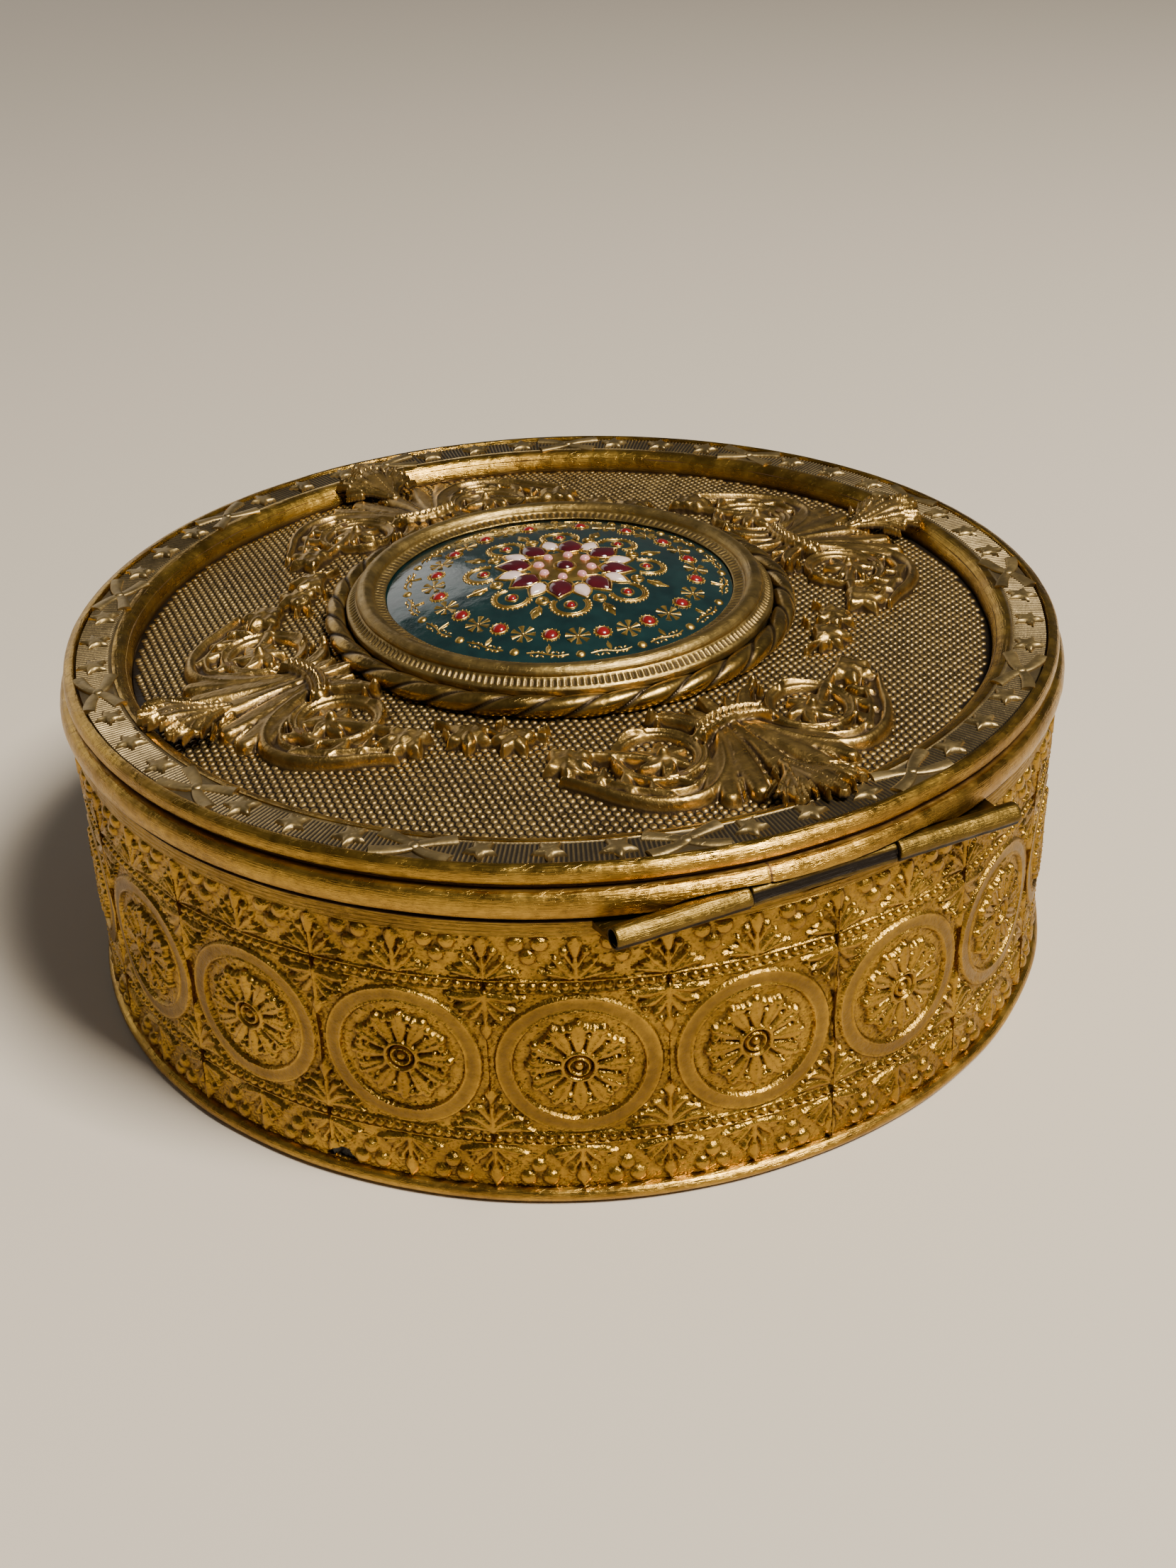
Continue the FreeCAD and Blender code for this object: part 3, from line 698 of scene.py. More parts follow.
def draw_spandrel(relief, x):
    """The leaves between two medallions: one spray hangs, the other stands."""
    for foot, up, size in ((BEAD_ROWS[0] - ROW_HALF, -1, 1.0), (BEAD_ROWS[1] + ROW_HALF, 1, 1.05)):
        draw_spray(
            relief, x, foot, up, size,
            stem=(((0.3, 4.2), [0.5, 0.26], 0.52, 0.4), ((4.0, 4.9, 6.0), [0.3, 0.72, 0.14], 0.6, 0.3)),
            strokes=(
                (((0.3, 0.5), (2.4, 0.8), (4.2, 0.55)), [0.4, 0.75, 0.2], 0.5, 0.5),
                (((0.3, 0.8), (1.7, 1.9), (3.1, 2.1)), [0.35, 0.68, 0.2], 0.52, 0.45),
                (((0.2, 1.6), (1.1, 3.0), (1.75, 3.3)), [0.3, 0.56, 0.22], 0.54, 0.4),
            ),
            beads=((3.5, 1.35, 0.36, 0.4), (2.5, 2.85, 0.34, 0.4), (0.85, 4.2, 0.36, 0.42)),
        )


def frieze_relief():
    """One repeat of the strip: a medallion with half a spandrel, and the leaf borders above and below."""
    relief = Relief((-PERIOD / 2, PERIOD / 2), (RIM_TOP + 0.05, FRIEZE_TOP), 0.13)
    draw_medallion(relief)
    for row, up in zip(BEAD_ROWS, (1, -1)):
        pitch = PERIOD / BEADS_PER_PERIOD
        for k in range(BEADS_PER_PERIOD):
            relief.bead((k + 0.5) * pitch - PERIOD / 2, row, 0.46, 0.46)
        for offset in (-0.68, 0.68):
            line = [(-PERIOD / 2 - 1, row + offset), (PERIOD / 2 + 1, row + offset)]
            relief.stroke(line, [0.17, 0.17], 0.22)
        foot = row + ROW_HALF * up
        draw_palmette(relief, 0, foot, up)
        for side in (-1, 1):
            draw_palmette(relief, side * PERIOD / 2, foot, up)
            draw_cluster(relief, side * PERIOD / 4, foot, up)
    for side in (-1, 1):
        draw_spandrel(relief, side * PERIOD / 2)
    ends = relief.height[:, [0, -1]].mean(1)
    relief.height[:, [0, -1]] = ends[:, None]
    grain = CHANCE.normal(size=relief.height.shape)
    grain = (grain + np.roll(grain, 1, 0) + np.roll(grain, 1, 1) + np.roll(grain, -1, 1)) / 4
    grain[:, -1] = grain[:, 0]
    relief.height += 0.085 * grain * np.clip(1 - relief.height / 0.3, 0.2, 1)
    return relief


SEAM_TURN = 92.0                  # degrees, where the ends of the strip meet
TEAR_TURN, TEAR_Z = 38.8, 2.5     # a small torn place in the strip's lower edge


def join_and_tear(shape):
    """Sinks the joint of the strip, lifts the end beside it, and opens the torn place, painting its inside
    black as shade.
    """
    x, y, z = shape.points.T
    radius, angle = np.hypot(x, y), np.arctan2(y, x)
    outer = radius > FRIEZE_R - 0.2
    along = angle_gap(angle, SEAM_TURN) * FRIEZE_R + 0.25 * np.sin(z * 0.9)
    joint = np.exp(-(along / 0.16) ** 2) * outer
    lifted = np.exp(-along / 1.5) * (along > 0) * outer
    away = angle_gap(angle, TEAR_TURN) * FRIEZE_R
    torn = outer & (z > RIM_TOP + 0.2) & (z < TEAR_Z + 0.9)
    torn &= (np.abs(away) < 1.5 - 0.9 * (z - TEAR_Z)) & (np.abs(away + 0.6) > 0.35 * (TEAR_Z - z))
    change = 0.09 * lifted - 0.16 * joint - 0.40 * torn
    shape.points[:, 0] += change * x / radius
    shape.points[:, 1] += change * y / radius
    # The torn place is painted black as the shade inside the hole.
    shape.tone = np.where(torn, HOLE_SHADE_TONE, np.clip(shape.tone - 0.4 * joint, 0, 1))
    return shape


def add_frieze():
    """The strip as ten lengths of two medallions, each slightly uneven in its own way."""
    one = closed_strip_solid(frieze_relief(), on_wall(FRIEZE_R), FRIEZE_R - WALL_R - 0.02)
    for k in range(PERIODS // 2):
        turns = [FIRST_MEDALLION + 360 / PERIODS * (2 * k + j) for j in (0, 1)]
        pair = joined([one.turned(turn) for turn in turns])
        radius = np.hypot(pair.points[:, 0], pair.points[:, 1])
        outward = pair.points / radius[:, None] * (1, 1, 0)
        free = np.clip(radius - WALL_R - 0.3, 0, 0.3) / 0.3
        pair.points += outward * (free * waver(pair.points, 16, 0.12))[:, None]
        stands_for = ["frieze_band"] if k == 0 else []
        add_piece(f"frieze_{k + 1}", join_and_tear(pair), BODY, "frieze", stands_for)


# ---- the rest of the body --------------------------------------------------------------------------------
def clear_of_hinge(shape, up):
    """Cuts the trough for the hinge barrel: points inside it move up (+1) or down (-1) to its wall and are
    darkened as painted shade round the barrel.
    """
    x, y, z = shape.points.T
    across = y - HINGE_Y
    inside = (np.abs(x) < HINGE_HALF + 0.3) & (np.hypot(across, z - HINGE_Z) < HINGE_RELIEF_R)
    wall = np.sqrt(np.maximum(HINGE_RELIEF_R ** 2 - across ** 2, 0))
    shape.points[:, 2] = np.where(inside, HINGE_Z + up * wall, z)
    # Painted shade in the trough round the barrel.
    shape.tone = np.where(inside, 0.2, shape.tone)
    return shape


def uneven(size, amount, seed, shade_above=1e3):
    """A change for `revolved`: gentle dents, with painted shade above a height."""
    def change(angle, r, z):
        dents = waver(polar(r, angle, z), size, amount, seed)
        # Points above the given height get painted shade.
        return r + dents, z + 0.4 * dents, np.where(z > shade_above, 0.05, 0.6)
    return change


def lined(points, z_low, z_high, lines, depth):
    """Cuts fine level lines into a wall outline of (r, z) points."""
    return [(r - depth * (0.5 - 0.5 * math.cos(math.tau * lines * (z - z_low) / (z_high - z_low))), z)
            for r, z in points]


def add_body():
    """The lined band, the foot moulding and the collar."""
    front = [(TOP_BAND_R, z) for z in np.linspace(FRIEZE_TOP + 0.05, BODY_TOP - 0.1, 28)]
    front = lined(front, FRIEZE_TOP, BODY_TOP, 4, 0.07)
    back = WALL_R + 0.02
    outline = front + [(TOP_BAND_R - 0.15, BODY_TOP), (back, BODY_TOP), (back, FRIEZE_TOP + 0.05)]
    # The top of the band gets painted shade, where it runs under the lid's rim.
    band = revolved(outline, 1080, uneven(14, 0.12, 5, BODY_TOP - 0.2))
    add_piece("top_band_lined", clear_of_hinge(band, -1), BODY, "band", ["top_band"])

    front, back = RIM_R - BEAD_DEPTH, WALL_R - 0.85
    outline = [(back, 0.02), (front, 0.02)] + bulge((front, 0.05), (front, RIM_TOP), BEAD_DEPTH, 18)
    rim = revolved(outline + [(back, RIM_TOP)], 900, uneven(12, 0.12, 8))
    add_piece("base_rim_moulding", rim, BODY, "rim", ["base_rim"])

    lip = arc(((COLLAR_IN_R + COLLAR_OUT_R) / 2, COLLAR_TOP - 0.4), 0.4, 0, 180, 9)
    outer = [(COLLAR_OUT_R, z) for z in np.linspace(COLLAR_BOTTOM + 0.7, COLLAR_TOP - 0.6, 12)]
    inner = [(COLLAR_IN_R, z) for z in np.linspace(COLLAR_TOP - 0.6, COLLAR_BOTTOM, 14)]
    outline = [(COLLAR_OUT_R, COLLAR_BOTTOM)] + outer + lip + inner
    collar = revolved(outline, 540, uneven(16, 0.06, 9))
    add_piece("collar_ring", collar, BODY, "plain", ["body_collar"])


def cushion(radius, bottom, top, down, seed):
    """A round velvet pad with a soft edge, a puffed middle and slight hollows. `down` turns it over."""
    rings, steps = 90, 360
    share = np.linspace(0.0005, 1, rings)[:, None]
    angle = np.linspace(0, math.tau, steps, endpoint=False)[None, :]
    thick = top - bottom
    edge = np.clip((1 - share) * radius / 1.6, 0, 1)
    puff = thick * (0.42 + 0.50 * np.sqrt(1 - (1 - edge) ** 2)) + 0 * angle
    flat = polar(radius * share, angle, 0 * angle)
    puff = puff + waver(flat, 11, 0.5, seed) * edge + waver(flat, 3.5, 0.12, seed + 1) * edge
    puff = np.minimum(puff, thick)
    face = bottom + puff if not down else top - puff
    back = np.full((2, steps), bottom if not down else top)
    under = [np.full((1, steps), radius - 0.3), np.full((1, steps), 0.03)]
    r = np.concatenate([radius * share + 0 * angle] + under)
    points = polar(r, np.broadcast_to(angle, r.shape), np.concatenate([face, back]))
    return Shape(points, grid_quads(rings + 2, steps, True, True)).facing_out()


def add_linings():
    """The padded velvet on the floor, under the lid and round the wall."""
    pad = cushion(PAD_R, PAD_BOTTOM, PAD_TOP, False, 21)
    floor = add_piece("floor_cushion", pad, BODY, "velvet", ["floor_pad"])
    pad = cushion(LID_PAD_R, LID_PAD_BOTTOM, LID_PAD_TOP, True, 31)
    top = add_piece("lid_cushion", pad, LID, "velvet", ["lid_lining"])

    outer, inner = 58.5, 57.5
    low, high = RIM_TOP + 0.05, COLLAR_BOTTOM - 0.05
    face = [(inner + 0.35 * abs(2 * (z - low) / (high - low) - 1) ** 6, z)
            for z in np.linspace(high, low, 40)]

    def puffed(angle, r, z):
        soft = waver(polar(r, angle, z), 8, 0.22, 41) * (r < outer - 0.3)
        return r + 0.6 * np.clip(soft, -0.2, 0.2), z, np.full(r.shape, PLAIN_TONE)

    cloth = revolved([(outer, low), (outer, high)] + face, 540, puffed)
    wall = add_piece("wall_velvet", cloth, BODY, "velvet", ["wall_lining"])


def barrel(start, end, bore, seam, open_end=0, gap=0.09, sunk=0.12, radius=1.15):
    """A hinge tube along X with eased ends. The seam where its sheet meets lies `seam` degrees up from the
    outside, `gap` radians to either side and `sunk` mm deep; the band of the seam and the inside of the tube
    are darkened as painted shade. `open_end` (1 or -1) is hollowed for 3 mm."""
    length = end - start
    wall = [(radius - 0.16, 0.0), (radius - 0.04, 0.06)]
    wall += [(radius, x) for x in np.linspace(0.16, length - 0.16, 50)]
    wall += [(radius - 0.04, length - 0.06), (radius - 0.16, length)]
    if open_end:
        mouth = radius - 0.34
        wall += [(mouth, length - 0.05), (mouth, length - 3), (bore, length - 3.05)]
    inner = [(bore, x) for x in np.linspace(wall[-1][1] - 0.1, 0.0, 20)]

    def rolled(angle, r, x):
        skin = r > radius - 0.3
        seam_and_shade = np.exp(-(angle_gap(angle, seam) / gap) ** 4) * skin
        dents = waver(polar(r, angle, x), 3.5, 0.05, 12) * skin
        # The seam band and the inside of the tube are darkened as painted shade.
        return r - sunk * seam_and_shade + dents, x, 0.6 - 0.6 * seam_and_shade - 0.5 * (r < radius - 0.3)

    tube = revolved(wall + inner, 64, rolled)
    across, up, along = tube.points.T
    x = end - along if open_end < 0 else start + along
    tube.points = np.stack([x, HINGE_Y + across, HINGE_Z + up], -1)
    return tube.facing_out()


def solder_web(start, end):
    """The fillet below an outer knuckle that joins it to the wall."""
    x = np.linspace(start + 0.2, end - 0.2, 60)[:, None]
    share = np.linspace(0, 1, 10)[None, :]
    wall_y = np.sqrt(TOP_BAND_R ** 2 - x ** 2) - 0.15
    y = wall_y + (HINGE_Y + 0.55 - wall_y) * share
    top = HINGE_Z - 0.75 + 0 * y
    bottom = top - 0.85 * (1 - share) ** 1.5 - 0.12
    y = np.concatenate([y, y[:, ::-1]], 1)
    z = np.concatenate([top, bottom[:, ::-1]], 1)
    return capped_tube(np.stack([x + 0 * y, y, z], -1))


def add_hinge():
    """Two outer tubes with their open ends outward, and the lid's tube between them."""
    inner_end = KNUCKLE_SPLIT + KNUCKLE_GAP
    sides = (("left", inner_end, HINGE_HALF, 1), ("right", -HINGE_HALF, -inner_end, -1))
    for side, start, end, open_end in sides:
        # The seam band lies on the lower side of each outer tube, where it paints shade.
        tube = barrel(start, end, 0.56, -35, open_end, gap=0.3, radius=1.27)
        knuckle = joined([tube, solder_web(start, end)])
        add_piece(f"hinge_tube_{side}", knuckle, BODY, "tube", [f"hinge_knuckle_{side}"])
    lid_end = KNUCKLE_SPLIT - KNUCKLE_GAP
    # The wide seam band paints shade over the middle tube's front.
    middle = barrel(-lid_end, lid_end, 0.62, 8, gap=0.62, sunk=0.42)
    add_piece("hinge_tube_middle", middle, LID, "tube", ["lid_knuckle"])


# ---- the lid's rim, border and field ---------------------------------------------------------------------
X_COUNT = 13                      # crossed ribbons round the border
FIRST_X = 76.75                   # degrees
RIBS_PER_PANEL = 56
BORDER_MIDDLE = 56.75
X_HALF_LENGTH, X_HALF_DEPTH = 4.1, 1.9


LID_SEAM_TURN, PIN_HOLE_TURN = 84.0, 99.5      # degrees


def add_rim():
    """The lid's side: a broad lower bead and a narrow upper one, with a groove between."""
    lower = bulge((60.3, 36.75), (60.3, 39.8), BEAD_DEPTH, 26)
    upper = bulge((59.75, 40.4), (59.7, 42.35), 0.65, 20)
    outline = [(59.05, 36.72)] + lower + [(59.62, 39.95), (59.6, 40.25)] + upper
    outline += [(59.4, 42.5), (59.1, 42.42), (59.0, 42.1), (59.0, 39.0)]

    def change(angle, r, z):
        dents = waver(polar(r, angle, z), 13, 0.14, 14) + waver(polar(r, angle, z), 3.5, 0.035, 15)
        groove = (r < 59.9) & (z > 39.7) & (z < 40.6)
        outer = r > 60.2
        seam = np.exp(-((angle_gap(angle, LID_SEAM_TURN) * 61) / 0.10) ** 2) * (z < 39.9) * outer
        from_hole = np.hypot(angle_gap(angle, PIN_HOLE_TURN) * 61, z - 37.5)
        hole = np.exp(-(from_hole / 0.22) ** 2) * outer
        # The rim's underside and the pin hole are darkened as painted shade; the groove between the beads is
        # darker too.
        tone = np.where(groove | (z < 36.9), 0.10, 0.62) - 0.5 * seam - 0.6 * hole
        return r + dents - 0.10 * seam - 0.35 * hole, z, tone

    rim = clear_of_hinge(revolved(outline, 1500, change), 1)
    add_piece("lid_rim_beads", rim, LID, "rim", ["lid_rim"])


def add_border():
    """The dark flat of the border: fine radial ribs, plain between the arms of each crossed ribbon."""
    inner, outer = BORDER_IN_R + 0.02, BORDER_OUT_R - 0.1
    radii = np.concatenate([[inner, 54.70, 54.86, 54.98], np.linspace(55.1, 58.3, 15), [58.5, outer]])
    outline = [(r, BORDER_TOP) for r in radii] + [(outer, 41.5), (inner, 41.5)]
    ribs = X_COUNT * RIBS_PER_PANEL

    def change(angle, r, z):
        top = z > 42
        panel = (np.degrees(angle) - FIRST_X + 180 / X_COUNT) % (360 / X_COUNT) - 180 / X_COUNT
        along = np.radians(panel) * BORDER_MIDDLE
        between_arms = np.abs(r - BORDER_MIDDLE) * X_HALF_LENGTH / X_HALF_DEPTH > np.abs(along)
        rib = 0.5 + 0.5 * np.cos(angle * ribs)
        fillet = np.exp(-((r - 54.86) / 0.12) ** 2)
        ribbed = top & ~between_arms & (r > 55.0)
        height = np.where(ribbed, 0.24 * rib, 0.04) + 0.16 * fillet
        height = height + waver(polar(r, angle, z), 9, 0.10, 17)
        tone = np.where(ribbed, 0.62 * rib, 0.34) + 0.45 * fillet
        return r + 0 * angle, np.where(top, z - 0.19 + height, z), tone

    flat = revolved(outline, ribs * 3, change)
    add_piece("border_ribs", flat, LID, "border", ["border_ring"])

    stars, arms = [], []
    for k in range(X_COUNT):
        start = FIRST_X + 360 / X_COUNT * k
        for step in (1, 2, 3):
            stars.append(star(2.0 + 0.06 * CHANCE.normal(), start + 360 / X_COUNT * step / 4))
        arms.append(crossed_ribbon(start))
    add_piece("border_stars", joined(stars), LID, "star")
    add_piece("border_ribbons", joined(arms), LID, "star")


def on_border(degrees, top):
    """Flat patch on the border: x along it, y outward from its middle, turned to a direction."""
    def place(x, y, height):
        angle = math.radians(degrees) + x / BORDER_MIDDLE
        return polar(BORDER_MIDDLE + y, angle, top + height)
    return place


def star(radius, degrees):
    """A five-pointed star with one point outward, hollowed towards its notches."""
    outline = []
    for k in range(10):
        reach = radius if k % 2 == 0 else 0.50 * radius
        angle = math.radians(90 + 36 * k + 2 * CHANCE.normal())
        outline.append((reach * math.cos(angle), reach * math.sin(angle)))
    outline = np.array(outline)
    between = (outline + np.roll(outline, -1, 0)) / 2
    outline = np.stack([outline, between], 1).reshape(-1, 2)
    return lump(outline, 0.46, on_border(degrees, 42.26), power=4.5, rings=6, sink=0.45, tone=0.8)


def crossed_ribbon(degrees):
    """Two flat ribbons that cross, and the knot where they meet."""
    parts = []
    for lift, slope in ((42.22, 1), (42.28, -1)):
        place = on_border(degrees, lift)
        path = [(-X_HALF_LENGTH, -slope * X_HALF_DEPTH), (-1.3, -0.85 * slope), (1.3, 0.85 * slope),
                (X_HALF_LENGTH, slope * X_HALF_DEPTH)]
        parts.append(strip(path, [0.86, 0.56, 0.86], 0.30, place, 30, sink=0.3))
    parts.append(lump(circle(0, 0, 0.7, 14), 0.34, on_border(degrees, 42.28), power=3, sink=0.3, tone=0.7))
    return joined(parts)


def add_inner_roll():
    """The rolled inner edge of the border, down to the field."""
    foot_z = crown_z(52.6)
    roll = [(54.6 - 2.0 * math.sin(a), 40.2 + 2.0 * math.cos(a)) for a in np.linspace(0.05, math.pi / 2, 22)]
    outline = [(54.6, 41.45), (54.6, 42.2)] + roll
    outline += [(52.6, foot_z + 0.3), (52.65, foot_z - 0.25), (53.0, foot_z - 0.25), (53.0, 41.45)]

    def change(angle, r, z):
        dents = waver(polar(r, angle, z), 12, 0.14, 19)
        foot = np.clip((z - foot_z) / 0.9, 0, 1)
        return r + dents * (r < 54.3), z, 0.15 + 0.5 * foot

    add_piece("border_roll", revolved(outline, 720, change), LID, "rim", ["inner_bead_ring"])


NUB_PITCH = 1.0
NUB_RINGS = ((1 / math.sqrt(3), 0.0, 0.02), (0.485, 0.02, 0.05), (0.40, 0.19, 0.55), (0.24, 0.26, 0.72))
NUB_GRAIN = math.radians(145.0)


def nub_places():
    """The middles of the nubs: a hexagonal net, turned to the photo's grain, that fills the field."""
    row_step = NUB_PITCH * math.sqrt(3) / 2
    reach = int(FIELD_R / row_step) + 2
    row, col = np.meshgrid(np.arange(-reach, reach), np.arange(-reach, reach), indexing="ij")
    x, y = ((col + 0.5 * (row % 2)) * NUB_PITCH).ravel(), (row * row_step).ravel()
    cos, sin = math.cos(NUB_GRAIN), math.sin(NUB_GRAIN)
    places = np.stack([x * cos - y * sin, x * sin + y * cos], -1)
    from_middle = np.hypot(*places.T)
    return places[(from_middle < FIELD_R - 0.55) & (from_middle > 25.0)]


def add_field():
    """The crowned field: low pillows with grimy lines between them, in four quarters, on a plain sheet."""
    centre = nub_places()
    corner = np.radians(60 * np.arange(6)) + NUB_GRAIN + math.radians(30)
    reach, rise, tone = (np.array(column)[None, :, None] for column in zip(*NUB_RINGS))
    x = centre[:, None, None, 0] + reach * NUB_PITCH * np.cos(corner)
    y = centre[:, None, None, 1] + reach * NUB_PITCH * np.sin(corner)
    size = 1 + 0.10 * CHANCE.normal(size=(len(centre), 1, 1))
    pressed = waver(np.stack([x, y, 0 * x], -1), 10, 0.10, 23)
    sides = on_crown(x, y, rise * size + pressed).reshape(len(centre), 24, 3)
    tops = on_crown(centre[:, 0], centre[:, 1], 0.28 * size[:, 0, 0] + pressed[:, 0].mean(-1))
    nubs = np.concatenate([sides, tops[:, None]], 1)
    tones = np.append(np.broadcast_to(tone, (1, 4, 6)), 0.75)
    quads, cap = grid_quads(4, 6, False, True), fan(np.arange(18, 24), 24)
    quarter = (np.degrees(np.arctan2(centre[:, 1], centre[:, 0])) % 360 // 90).astype(int)
    for k in range(4):
        block = nubs[quarter == k]
        start = 25 * np.arange(len(block))[:, None, None]
        shape = Shape(block, quads + start, cap + start, np.tile(tones, len(block)))
        add_piece(f"field_nubs_{k + 1}", shape, LID, "field", sharp=80)
    under = [(r, crown_z(r) - 0.65) for r in np.linspace(52.45, 21.6, 20)]
    over = [(r, crown_z(r) + 0.004) for r in np.linspace(21.6, 52.45, 60)]
    sheet = revolved(over + under, 360)
    sheet.tone[:] = 0.1
    add_piece("field_sheet", sheet, LID, "field", ["field_plate"])


# ---- the cast mounts -------------------------------------------------------------------------------------
# Angle from the tip, share of the size there, and share of the height there.
IVY_EDGE = ((0, 1.0, 1.0), (28, 0.62, 0.95), (56, 0.95, 1.0), (88, 0.62, 0.95), (122, 0.88, 1.0),
            (152, 0.58, 0.95), (180, 0.48, 1.0))


def draw_folded(relief, leaves, rib, hollow):
    """Leaves given as (path, half-widths, height), each with a ridge along its middle. `rib` is the ridge's
    half-widths, height as a share of the leaf's, and keel."""
    rib_widths, rib_height, keel = rib
    for path, widths, height in leaves:
        relief.stroke(path, widths, height, hollow=hollow)
        relief.stroke(path, rib_widths, height * rib_height, keel=keel)


def draw_leaf(relief, x, y, turn, size, height):
    """An ivy leaf of five pointed lobes, folded up along its veins."""
    relief.blade(x, y, turn, size, height, IVY_EDGE)
    for spread, share in ((0, 0.85), (55, 0.7), (-55, 0.7)):
        angle = math.radians(turn + spread)
        tip = (x + share * size * math.cos(angle), y + share * size * math.sin(angle))
        relief.stroke([(x, y), tip], [0.16, 0.10], height * 1.10, keel=0.4, ends=0.85)


def nicked_end(relief, path, half_width, height):
    """Small bright points across the end of a tongue of leaf, as if nicked with a graver."""
    end, before = np.array(path[-1]), np.array(path[-2])
    ahead = (end - before) / np.linalg.norm(end - before)
    across = np.array([-ahead[1], ahead[0]])
    for share in (-1.0, -0.33, 0.33, 1.0):
        middle = end - ahead * (0.9 + 0.5 * abs(share)) + across * share * half_width
        tip = middle + ahead * 1.2 + across * share * 0.35
        relief.stroke([middle - ahead * 0.8, tip], [0.34, 0.18], height, keel=0.3)


def draw_fan(relief):
    """The acanthus fan: smooth folds from a narrow neck out to lobes with nicked ends."""
    tongues = [
        (((35.9, 0.0), (40.0, 0.0), (44.0, 0.0), (47.4, 0.0)), (0.8, 0.9, 1.5, 1.3), 2.1),
        (((36.0, 1.2), (39.6, 2.1), (43.6, 3.5), (47.2, 4.5)), (0.7, 1.1, 1.6, 1.3), 1.9),
        (((36.4, 2.2), (39.4, 3.8), (43.0, 6.0), (46.6, 7.9)), (0.7, 1.1, 1.5, 1.2), 1.8),
        (((39.6, 4.6), (42.0, 6.6), (44.6, 9.0)), (0.6, 1.2, 1.0), 1.6),
    ]
    for path, widths, height in tongues:
        relief.stroke(path, widths, height, hollow=0.22)
        nicked_end(relief, path, 1.1 * widths[-1], height * 0.85)
    for path in (((37.0, 0.7), (41.4, 1.3), (45.4, 2.1)), ((37.2, 1.9), (40.8, 3.4), (44.6, 5.6))):
        relief.stroke(path, [0.14, 0.20, 0.12], 2.2, keel=0.6, ends=0.8)


def draw_collar(relief):
    """The beaded collar that binds the leaves, and the crown of small leaves inside it."""
    def bound(v, offset=0.0):
        return 34.6 + offset + 0.065 * v * v, v

    spread = np.linspace(-4.3, 4.3, 9)
    relief.stroke([bound(v) for v in spread], [1.05, 1.05], 2.3, hollow=0.12)
    for offset in (-0.9, 0.9):
        relief.stroke([bound(v, offset) for v in spread], [0.26, 0.26], 2.65)
    for v in np.linspace(-3.9, 3.9, 10):
        relief.bead(*bound(v), 0.42, 2.95)
    leaves = (
        (((34.0, 0), (31.8, 0), (29.6, 0.3)), (0.8, 1.0, 0.3), 2.4),
        (((34.0, 1.4), (32.2, 2.1), (30.4, 2.6)), (0.6, 0.85, 0.2), 2.1),
        (((34.6, 3.2), (33.0, 3.6), (31.3, 4.8), (30.0, 6.6)), (0.6, 1.15, 1.0, 0.6), 2.3),
    )
    draw_folded(relief, leaves, ([0.16, 0.08], 0.9, 0.5), 0.35)
    relief.bead(29.9, 6.9, 0.75, 2.5)
    relief.bead(31.3, 7.0, 0.5, 2.1)


ARM = ((37.4, 3.6), (41.2, 5.7), (43.6, 8.4), (44.3, 11.2), (43.0, 14.4), (40.2, 17.0), (37.0, 18.8),
       (34.2, 20.6))


def beside(path, distance):
    """A path drawn at one side of another."""
    line = smooth_path(path, 3 * len(path))
    return line + distance * sideways(line)


def draw_scroll(relief):
    """One side of a mount: the channelled arm, the volute with its flower, small leaves and the end leaf."""
    relief.stroke(ARM, [0.6, 1.1, 1.5, 1.6, 1.5, 1.3, 0.9, 0.4], 1.1, hollow=0.4)
    relief.stroke(beside(ARM, -0.85), [0.3, 0.7, 0.85, 0.85, 0.7, 0.35], 1.6)
    relief.stroke(beside(ARM, 1.0), [0.2, 0.34, 0.40, 0.36, 0.2], 1.45)

    centre = np.array([36.2, 10.1])
    turns = np.radians(np.linspace(-75, 380, 30))
    spiral = centre + np.linspace(4.9, 4.1, 30)[:, None] * np.stack([np.cos(turns), np.sin(turns)], -1)
    relief.stroke(spiral, [0.75, 0.75, 0.62, 0.4], 1.5, hollow=0.3, ends=0.9)
    relief.stroke(beside(spiral, -0.5), [0.24, 0.24], 1.7, ends=0.9)
    draw_flower(relief, centre + (0.8, -0.1))
    relief.stroke([(36.8, 11.2), (34.6, 13.4), (32.6, 16.2)], [0.5, 0.8, 0.5], 1.8, hollow=0.2)
    sprigs = (
        ((43.4, 13.2), (41.6, 13.9), (39.8, 13.4), 0.95), ((40.4, 16.2), (38.6, 15.8), (37.0, 14.9), 0.9),
        ((43.0, 9.6), (42.0, 10.0), (41.2, 11.2), 0.7), ((37.4, 18.2), (36.2, 17.2), (35.0, 16.2), 0.7),
        ((41.0, 6.4), (40.8, 7.2), (41.2, 8.4), 0.7),
    )
    leaves = [(path, (0.7 * width, width, 0.12), 1.6) for *path, width in sprigs]
    draw_folded(relief, leaves, ([0.14, 0.08], 1.7 / 1.6, 0.5), 0.2)
    relief.stroke([(31.8, 9.2), (31.0, 10.6), (31.4, 12.4)], [0.4, 0.6, 0.15], 1.7, keel=0.3)
    draw_leaf(relief, 32.2, 18.8, 35, 3.6, 1.9)


def draw_flower(relief, flower):
    """The six-petalled flower inside the volute, its petals swept round a little."""
    for k in range(6):
        angle = math.radians(60 * k + 12)
        at = flower + 1.5 * np.array([math.cos(angle), math.sin(angle)])
        far = flower + 2.75 * np.array([math.cos(angle + 0.22), math.sin(angle + 0.22)])
        relief.stroke([flower, at, far], [0.5, 0.95, 0.55], 1.9, hollow=0.3, ends=0.8)
        relief.stroke([flower, far], [0.12, 0.08], 1.9, keel=0.5, ends=0.85)
    relief.bead(*flower, 0.8, 2.5, dimple=0.1)


FLARE_START = 44.4


